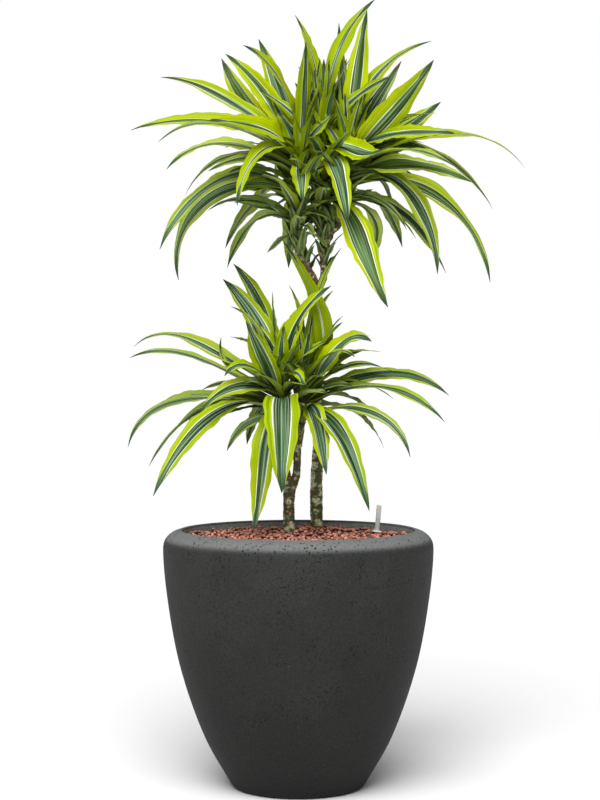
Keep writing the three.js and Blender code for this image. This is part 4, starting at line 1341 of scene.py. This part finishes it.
class DRACAENA_OT_shoots(bpy.types.Operator):
    """Builds the five leafy stems: blades, heart leaves and old leaf bases"""

    bl_idname = "dracaena.shoots"
    bl_label = "Leafy stems"

    def execute(self, context):
        props = context.scene.dracaena_leaves
        blade, base = leaf_material(props), sheath_material(props)
        bark = bpy.data.materials.get("cane_bark") or bark_material(context.scene.dracaena_canes)
        for shoot in SHOOTS:
            draw, fine = seeded(shoot["seed"]), seeded(shoot["seed"] + 100)
            name = shoot["name"]
            lit = LOWER_LIT if name.startswith("lower") else 1
            skin = Skin(*LEAF_VALUES)
            foot, crest = np.array(shoot["foot"], float), np.array(shoot["crest"], float)
            way = unit(crest - foot)
            foot = foot + way * GAP
            far = far_rows(shoot, draw)
            looks = LOOKS[name] + [None] * len(far)
            for k, (row, look) in enumerate(zip([*shoot["leaves"], *far], looks)):
                phase = next(draw) * 2 * math.pi
                shown = SHADED_LIT if k in SHADED.get(name, ()) else lit
                self.blade(skin, foot, way, row, phase, fine, props.segments, look, lit=shown)
            short = max(8, props.segments * 2 // 3)
            for row in SMALL_LEAVES[name]:
                self.blade(skin, foot, way, row, LEAF_PHASES * next(fine), fine, short, lit=lit)
            for row in self.inner_rows(shoot, fine):
                self.blade(
                    skin, foot, way, row, LEAF_PHASES * next(fine), fine, short, base_width=0.75, lit=lit,
                )
            settle(skin.piece(f"{name}_leaves", blade), "leaf", name)
            settle(self.old_bases(shoot, foot, way, fine, base), "leaf")
            settle(self.core(shoot, foot, crest, way, fine, bark, context), "cane")
        return {"FINISHED"}

    def blade(
        self, skin, foot, way, row, phase, fine, segments, look=None, base_width=LEAF_BASE_WIDTH, lit=1,
    ):
        """A leaf at its height on the stem, with its own margins, age and dry tip.

        A lit above 0 lightens a leaf by a drawn share of it; below 0 it shades the leaf. A leaf
        without a look of its own gets a drawn one and a shade.
        """
        root = foot + way * row[0] + toward(row[1]) * LEAF_ROOT
        drawn = [next(fine) for _ in range(4)]
        if look is None:
            age = max(0.0, 0.45 - row[0] / 140)
            look = (0.25 + 0.4 * drawn[0], 0.25 + 0.4 * drawn[1], age, 0.15 * max(0, drawn[2] - 0.5))
            lit = -drawn[3] ** 2
        minus, plus, age, dry = look
        light = lit * drawn[3] if lit > 0 else lit
        look = (minus * FOLD_HIDES, plus * FOLD_HIDES, age, dry, light)
        add_leaf(skin, root, row, phase, fine, segments, look, base_width)

    def inner_rows(self, shoot, fine):
        """Shorter leaves all round the stem, by the golden angle, that fill the crown."""
        height = shoot["crest"][2] - shoot["foot"][2]
        count, grown = INNER_LEAVES[shoot["name"]]
        for k in range(count):
            high = (k + 0.5) / count
            heading = ((k + 2) * GOLDEN_ANGLE) % 360
            if high > INNER_ROUND:
                heading = INNER_BACK[0] + heading % (INNER_BACK[1] - INNER_BACK[0])
            slope = between(INNER_SLOPES, high) + 10 * next(fine)
            size = (between(INNER_LENGTHS, math.sin(math.pi * high)) + 26 * next(fine)) * grown
            reach = size * math.cos(math.radians(slope - INNER_ARCH))
            rise = size * math.sin(math.radians(slope - INNER_ARCH))
            yield (
                height * between(INNER_UP, high), heading, reach, rise, slope + INNER_ARCH,
                slope - between(INNER_BENDS, high), between(INNER_WIDTHS, high),
                35 * math.cos(math.radians(heading)),
            )

    def old_bases(self, shoot, foot, way, fine, material):
        """Short withered leaf bases that clasp the stem below the leaves."""
        skin = Skin(*LEAF_VALUES)
        height = np.linalg.norm(np.array(shoot["crest"]) - foot)
        line = np.stack([foot - way * 4, foot + way * height * 0.7])
        clasp(skin, line, SHOOT_THICK[0] * 0.62, **OLD_BASES, fine=fine)
        return skin.piece(f"{shoot['name']}_old_bases", material)

    def core(self, shoot, foot, crest, way, fine, material, context):
        """The stem inside the leaves, up to its pointed bud."""
        low, high = SHOOT_THICK
        bud = crest + way * 12
        shoulder = foot + (crest - foot) * 0.75
        points = [(*(foot - way * CORE_SUNK), low * 0.72), (*foot, low * 0.8), (*shoulder, low),
                  (*crest, high), (*bud, 0.8)]
        skin = Skin("bark_place", "bark_tone")
        rings, place, tone = bark_rings(points, fine, context.scene.dracaena_canes, (1.1, 0.2))
        skin.tube(rings, bark_place=place, bark_tone=tone)
        return skin.piece(f"{shoot['name']}_stem", material)


# ------------------------------------------------------------------ water gauge


def standing(rings):
    """Leans rings that were made round the Z axis and stands them where the gauge is."""
    lean = math.radians(GAUGE_LEAN)
    x, y, z = rings[..., 0], rings[..., 1], rings[..., 2]
    return np.stack([
        x * math.cos(lean) + z * math.sin(lean), y, z * math.cos(lean) - x * math.sin(lean),
    ], axis=2) + np.array(GAUGE_FOOT)


class DRACAENA_OT_gauge(bpy.types.Operator):
    """Builds the water gauge: tube with marks, float rod and plate"""

    bl_idname = "dracaena.gauge"
    bl_label = "Water gauge"

    def execute(self, context):
        props = context.scene.dracaena_gauge
        outer, bore, plate = props.outer / MM, props.bore / MM, props.plate / MM
        high, low = GAUGE_STANDS, -GAUGE_DEPTH
        tube = [
            (0.01, high - 1.3), (bore * 0.6, high - 1.45), (bore, high - 2.3), (bore, low), (outer, low),
            (outer, 6), (outer, 20), (outer, high - 2.4), (outer * 0.93, high - 1.3),
            (outer * 0.72, high - 0.5), (outer * 0.4, high - 0.1), (0.01, high),
        ]
        rod = bore - GAP
        inner = [(0.01, low), (rod, low), (rod, 6.1), (rod * 0.86, 7), (rod * 0.5, 7.4), (0.01, 7.5)]
        rim = outer + GAP
        collar = [
            (rim, 1.2), (plate * 0.97, 1.2), (plate, 1.5), (plate * 0.96, 2.1), (rim + 1.4, 2.5),
            (rim + 1.0, 3.3), (rim + 0.3, 3.4), (rim, 3.1), (rim, 1.2),
        ]
        for name, node, profile, material in (
            ("gauge_tube_clear", "gauge_tube", tube, self.tube_finish(props)),
            ("gauge_float_rod", "gauge_float", inner, self.float_finish(props)),
            ("gauge_plate_white", "gauge_plate", collar, self.plate_finish(props)),
        ):
            skin = Skin()
            skin.tube(standing(turned(profile, GAUGE_SIDES)), capped=profile is not collar)
            settle(skin.piece(name, material), node, node)
        return {"FINISHED"}

    def tube_finish(self, props):
        """Milky clear plastic with two level marks."""
        material, w = new_material("milky_tube")
        clouds = w.clouds(300, 2, 1.5)
        _, _, height = w.place()
        lower, upper = [
            w.span(abs(height - mark), 0.0006, 0.0011, 1, 0, smoothly=True) for mark in GAUGE_MARKS
        ]
        tone = w.mix(clouds, props.clear, tuple(0.97 * c for c in props.clear))
        tone = w.mix(w.math("MAXIMUM", lower, upper) * 0.8, tone, props.mark)
        w.finish(
            Base_Color=tone, Roughness=w.span(clouds, 0, 1, 0.22, 0.34),
            Alpha=w.span(height, 0.4, 0.425, 0.62, 0.86),
        )
        return material

    def float_finish(self, props):
        """A white rod with a red head."""
        material, w = new_material("float_rod")
        _, _, height = w.place()
        clouds = w.clouds(500, 2, 1.5)
        red = w.mix(clouds, props.red, tuple(0.8 * c for c in props.red))
        tone = w.mix(w.span(height, *GAUGE_HEAD), props.rod, red)
        w.finish(Base_Color=tone, Roughness=w.span(clouds, 0, 1, 0.35, 0.5))
        return material

    def plate_finish(self, props):
        """White plastic, a little soiled."""
        material, w = new_material("white_plate")
        clouds = w.clouds(260, 3, 2)
        tone = w.mix(clouds, props.white, props.soiled)
        w.finish(w.bump(clouds, 0.2, 0.0003), Base_Color=tone, Roughness=w.span(clouds, 0, 1, 0.4, 0.55))
        return material


# ------------------------------------------------------------------ stage


class DRACAENA_OT_stage(bpy.types.Operator):
    """Makes the camera, the pale floor and the soft studio light"""

    bl_idname = "dracaena.stage"
    bl_label = "Stage"

    def execute(self, context):
        props = context.scene.dracaena_stage
        scene = context.scene
        scene.view_settings.view_transform = "Standard"
        camera_data = bpy.data.cameras.new("camera")
        camera_data.lens = props.lens
        camera_data.sensor_width = 36
        camera_data.clip_end = 200
        camera = bpy.data.objects.new("camera", camera_data)
        camera.location = (props.camera_aside, -props.camera_back, props.camera_height)
        camera.rotation_euler = (math.pi / 2 - props.camera_tilt, 0, 0)
        scene.collection.objects.link(camera)
        scene.camera = camera
        key = bpy.data.lights.new("key", "SUN")
        key.energy = props.key_strength
        key.angle = props.key_spread
        self.lamp(key, KEY_PLACE, (0, 0, 0))
        front = bpy.data.lights.new("front", "AREA")
        front.shape = "SQUARE"
        front.size = FRONT_SIZE
        front.energy = props.front_power
        self.lamp(front, FRONT_PLACE, FRONT_TARGET)
        self.surroundings(scene, props.sky)
        self.floor(props)
        return {"FINISHED"}

    def lamp(self, light, place, target):
        """Hangs a light at a place, aimed at a target."""
        lamp = bpy.data.objects.new(light.name, light)
        lamp.location = place
        aim = Vector(target) - Vector(place)
        lamp.rotation_euler = aim.to_track_quat("-Z", "Y").to_euler()
        bpy.context.scene.collection.objects.link(lamp)

    def surroundings(self, scene, strength):
        """White surroundings, seen at full strength behind the plant."""
        world = bpy.data.worlds.new("studio")
        world.use_nodes = True
        tree = world.node_tree
        tree.nodes.clear()
        w = Wiring(tree)
        seen = w.take("Is Camera Ray", "ShaderNodeLightPath")
        level = seen * (1.0 - strength) + strength
        shade = w.add("ShaderNodeBackground", {"Color": (1, 1, 1, 1), "Strength": level})
        output = w.add("ShaderNodeOutputWorld")
        tree.links.new(shade.outputs[0], output.inputs[0])
        scene.world = world

    def floor(self, props):
        """The pale floor, a little below the planter's underside."""
        material, w = new_material("pale_floor")
        clouds = w.clouds(3, 2, 1)
        tone = w.mix(clouds, props.floor_colour, tuple(0.985 * c for c in props.floor_colour))
        w.finish(Base_Color=tone, Roughness=w.span(clouds, 0, 1, 0.85, 0.95))
        half = props.floor_size / MM / 2
        skin = Skin()
        corners = [(-half, -half), (half, -half), (half, half), (-half, half)]
        skin.add([(x, y, -FLOOR_DROP) for x, y in corners], [(0, 1, 2, 3)])
        skin.piece("studio_floor", material)


# ------------------------------------------------------------------ panel and registration

SETTINGS = {
    "dracaena_stage": StageSettings,
    "dracaena_planter": PlanterSettings,
    "dracaena_granules": GranuleSettings,
    "dracaena_canes": CaneSettings,
    "dracaena_leaves": LeafSettings,
    "dracaena_gauge": GaugeSettings,
}
STEPS = (
    DRACAENA_OT_stage,
    DRACAENA_OT_planter,
    DRACAENA_OT_granules,
    DRACAENA_OT_canes,
    DRACAENA_OT_shoots,
    DRACAENA_OT_gauge,
)


class DRACAENA_PT_panel(bpy.types.Panel):
    """Lists the steps that build the plant"""

    bl_idname = "DRACAENA_PT_panel"
    bl_label = "Potted Dracaena"
    bl_space_type = "VIEW_3D"
    bl_region_type = "UI"
    bl_category = "Dracaena"

    def draw(self, context):
        column = self.layout.column(align=True)
        for step in STEPS:
            column.operator(step.bl_idname)
        for name, group in SETTINGS.items():
            box = self.layout.box()
            box.label(text=name.removeprefix("dracaena_").capitalize())
            for value in group.__annotations__:
                box.prop(getattr(context.scene, name), value)


CLASSES = (*SETTINGS.values(), *STEPS, DRACAENA_PT_panel)


def register():
    """Adds the classes and hangs the settings on the scene."""
    for cls in CLASSES:
        bpy.utils.register_class(cls)
    for name, group in SETTINGS.items():
        setattr(bpy.types.Scene, name, PointerProperty(type=group))


def unregister():
    """Takes the settings and the classes away again."""
    for name in SETTINGS:
        delattr(bpy.types.Scene, name)
    for cls in reversed(CLASSES):
        bpy.utils.unregister_class(cls)


def main():
    """Builds everything."""
    register()
    build_groups()
    for step in STEPS:
        family, name = step.bl_idname.split(".")
        getattr(getattr(bpy.ops, family), name)()


if __name__ == "__main__":
    main()
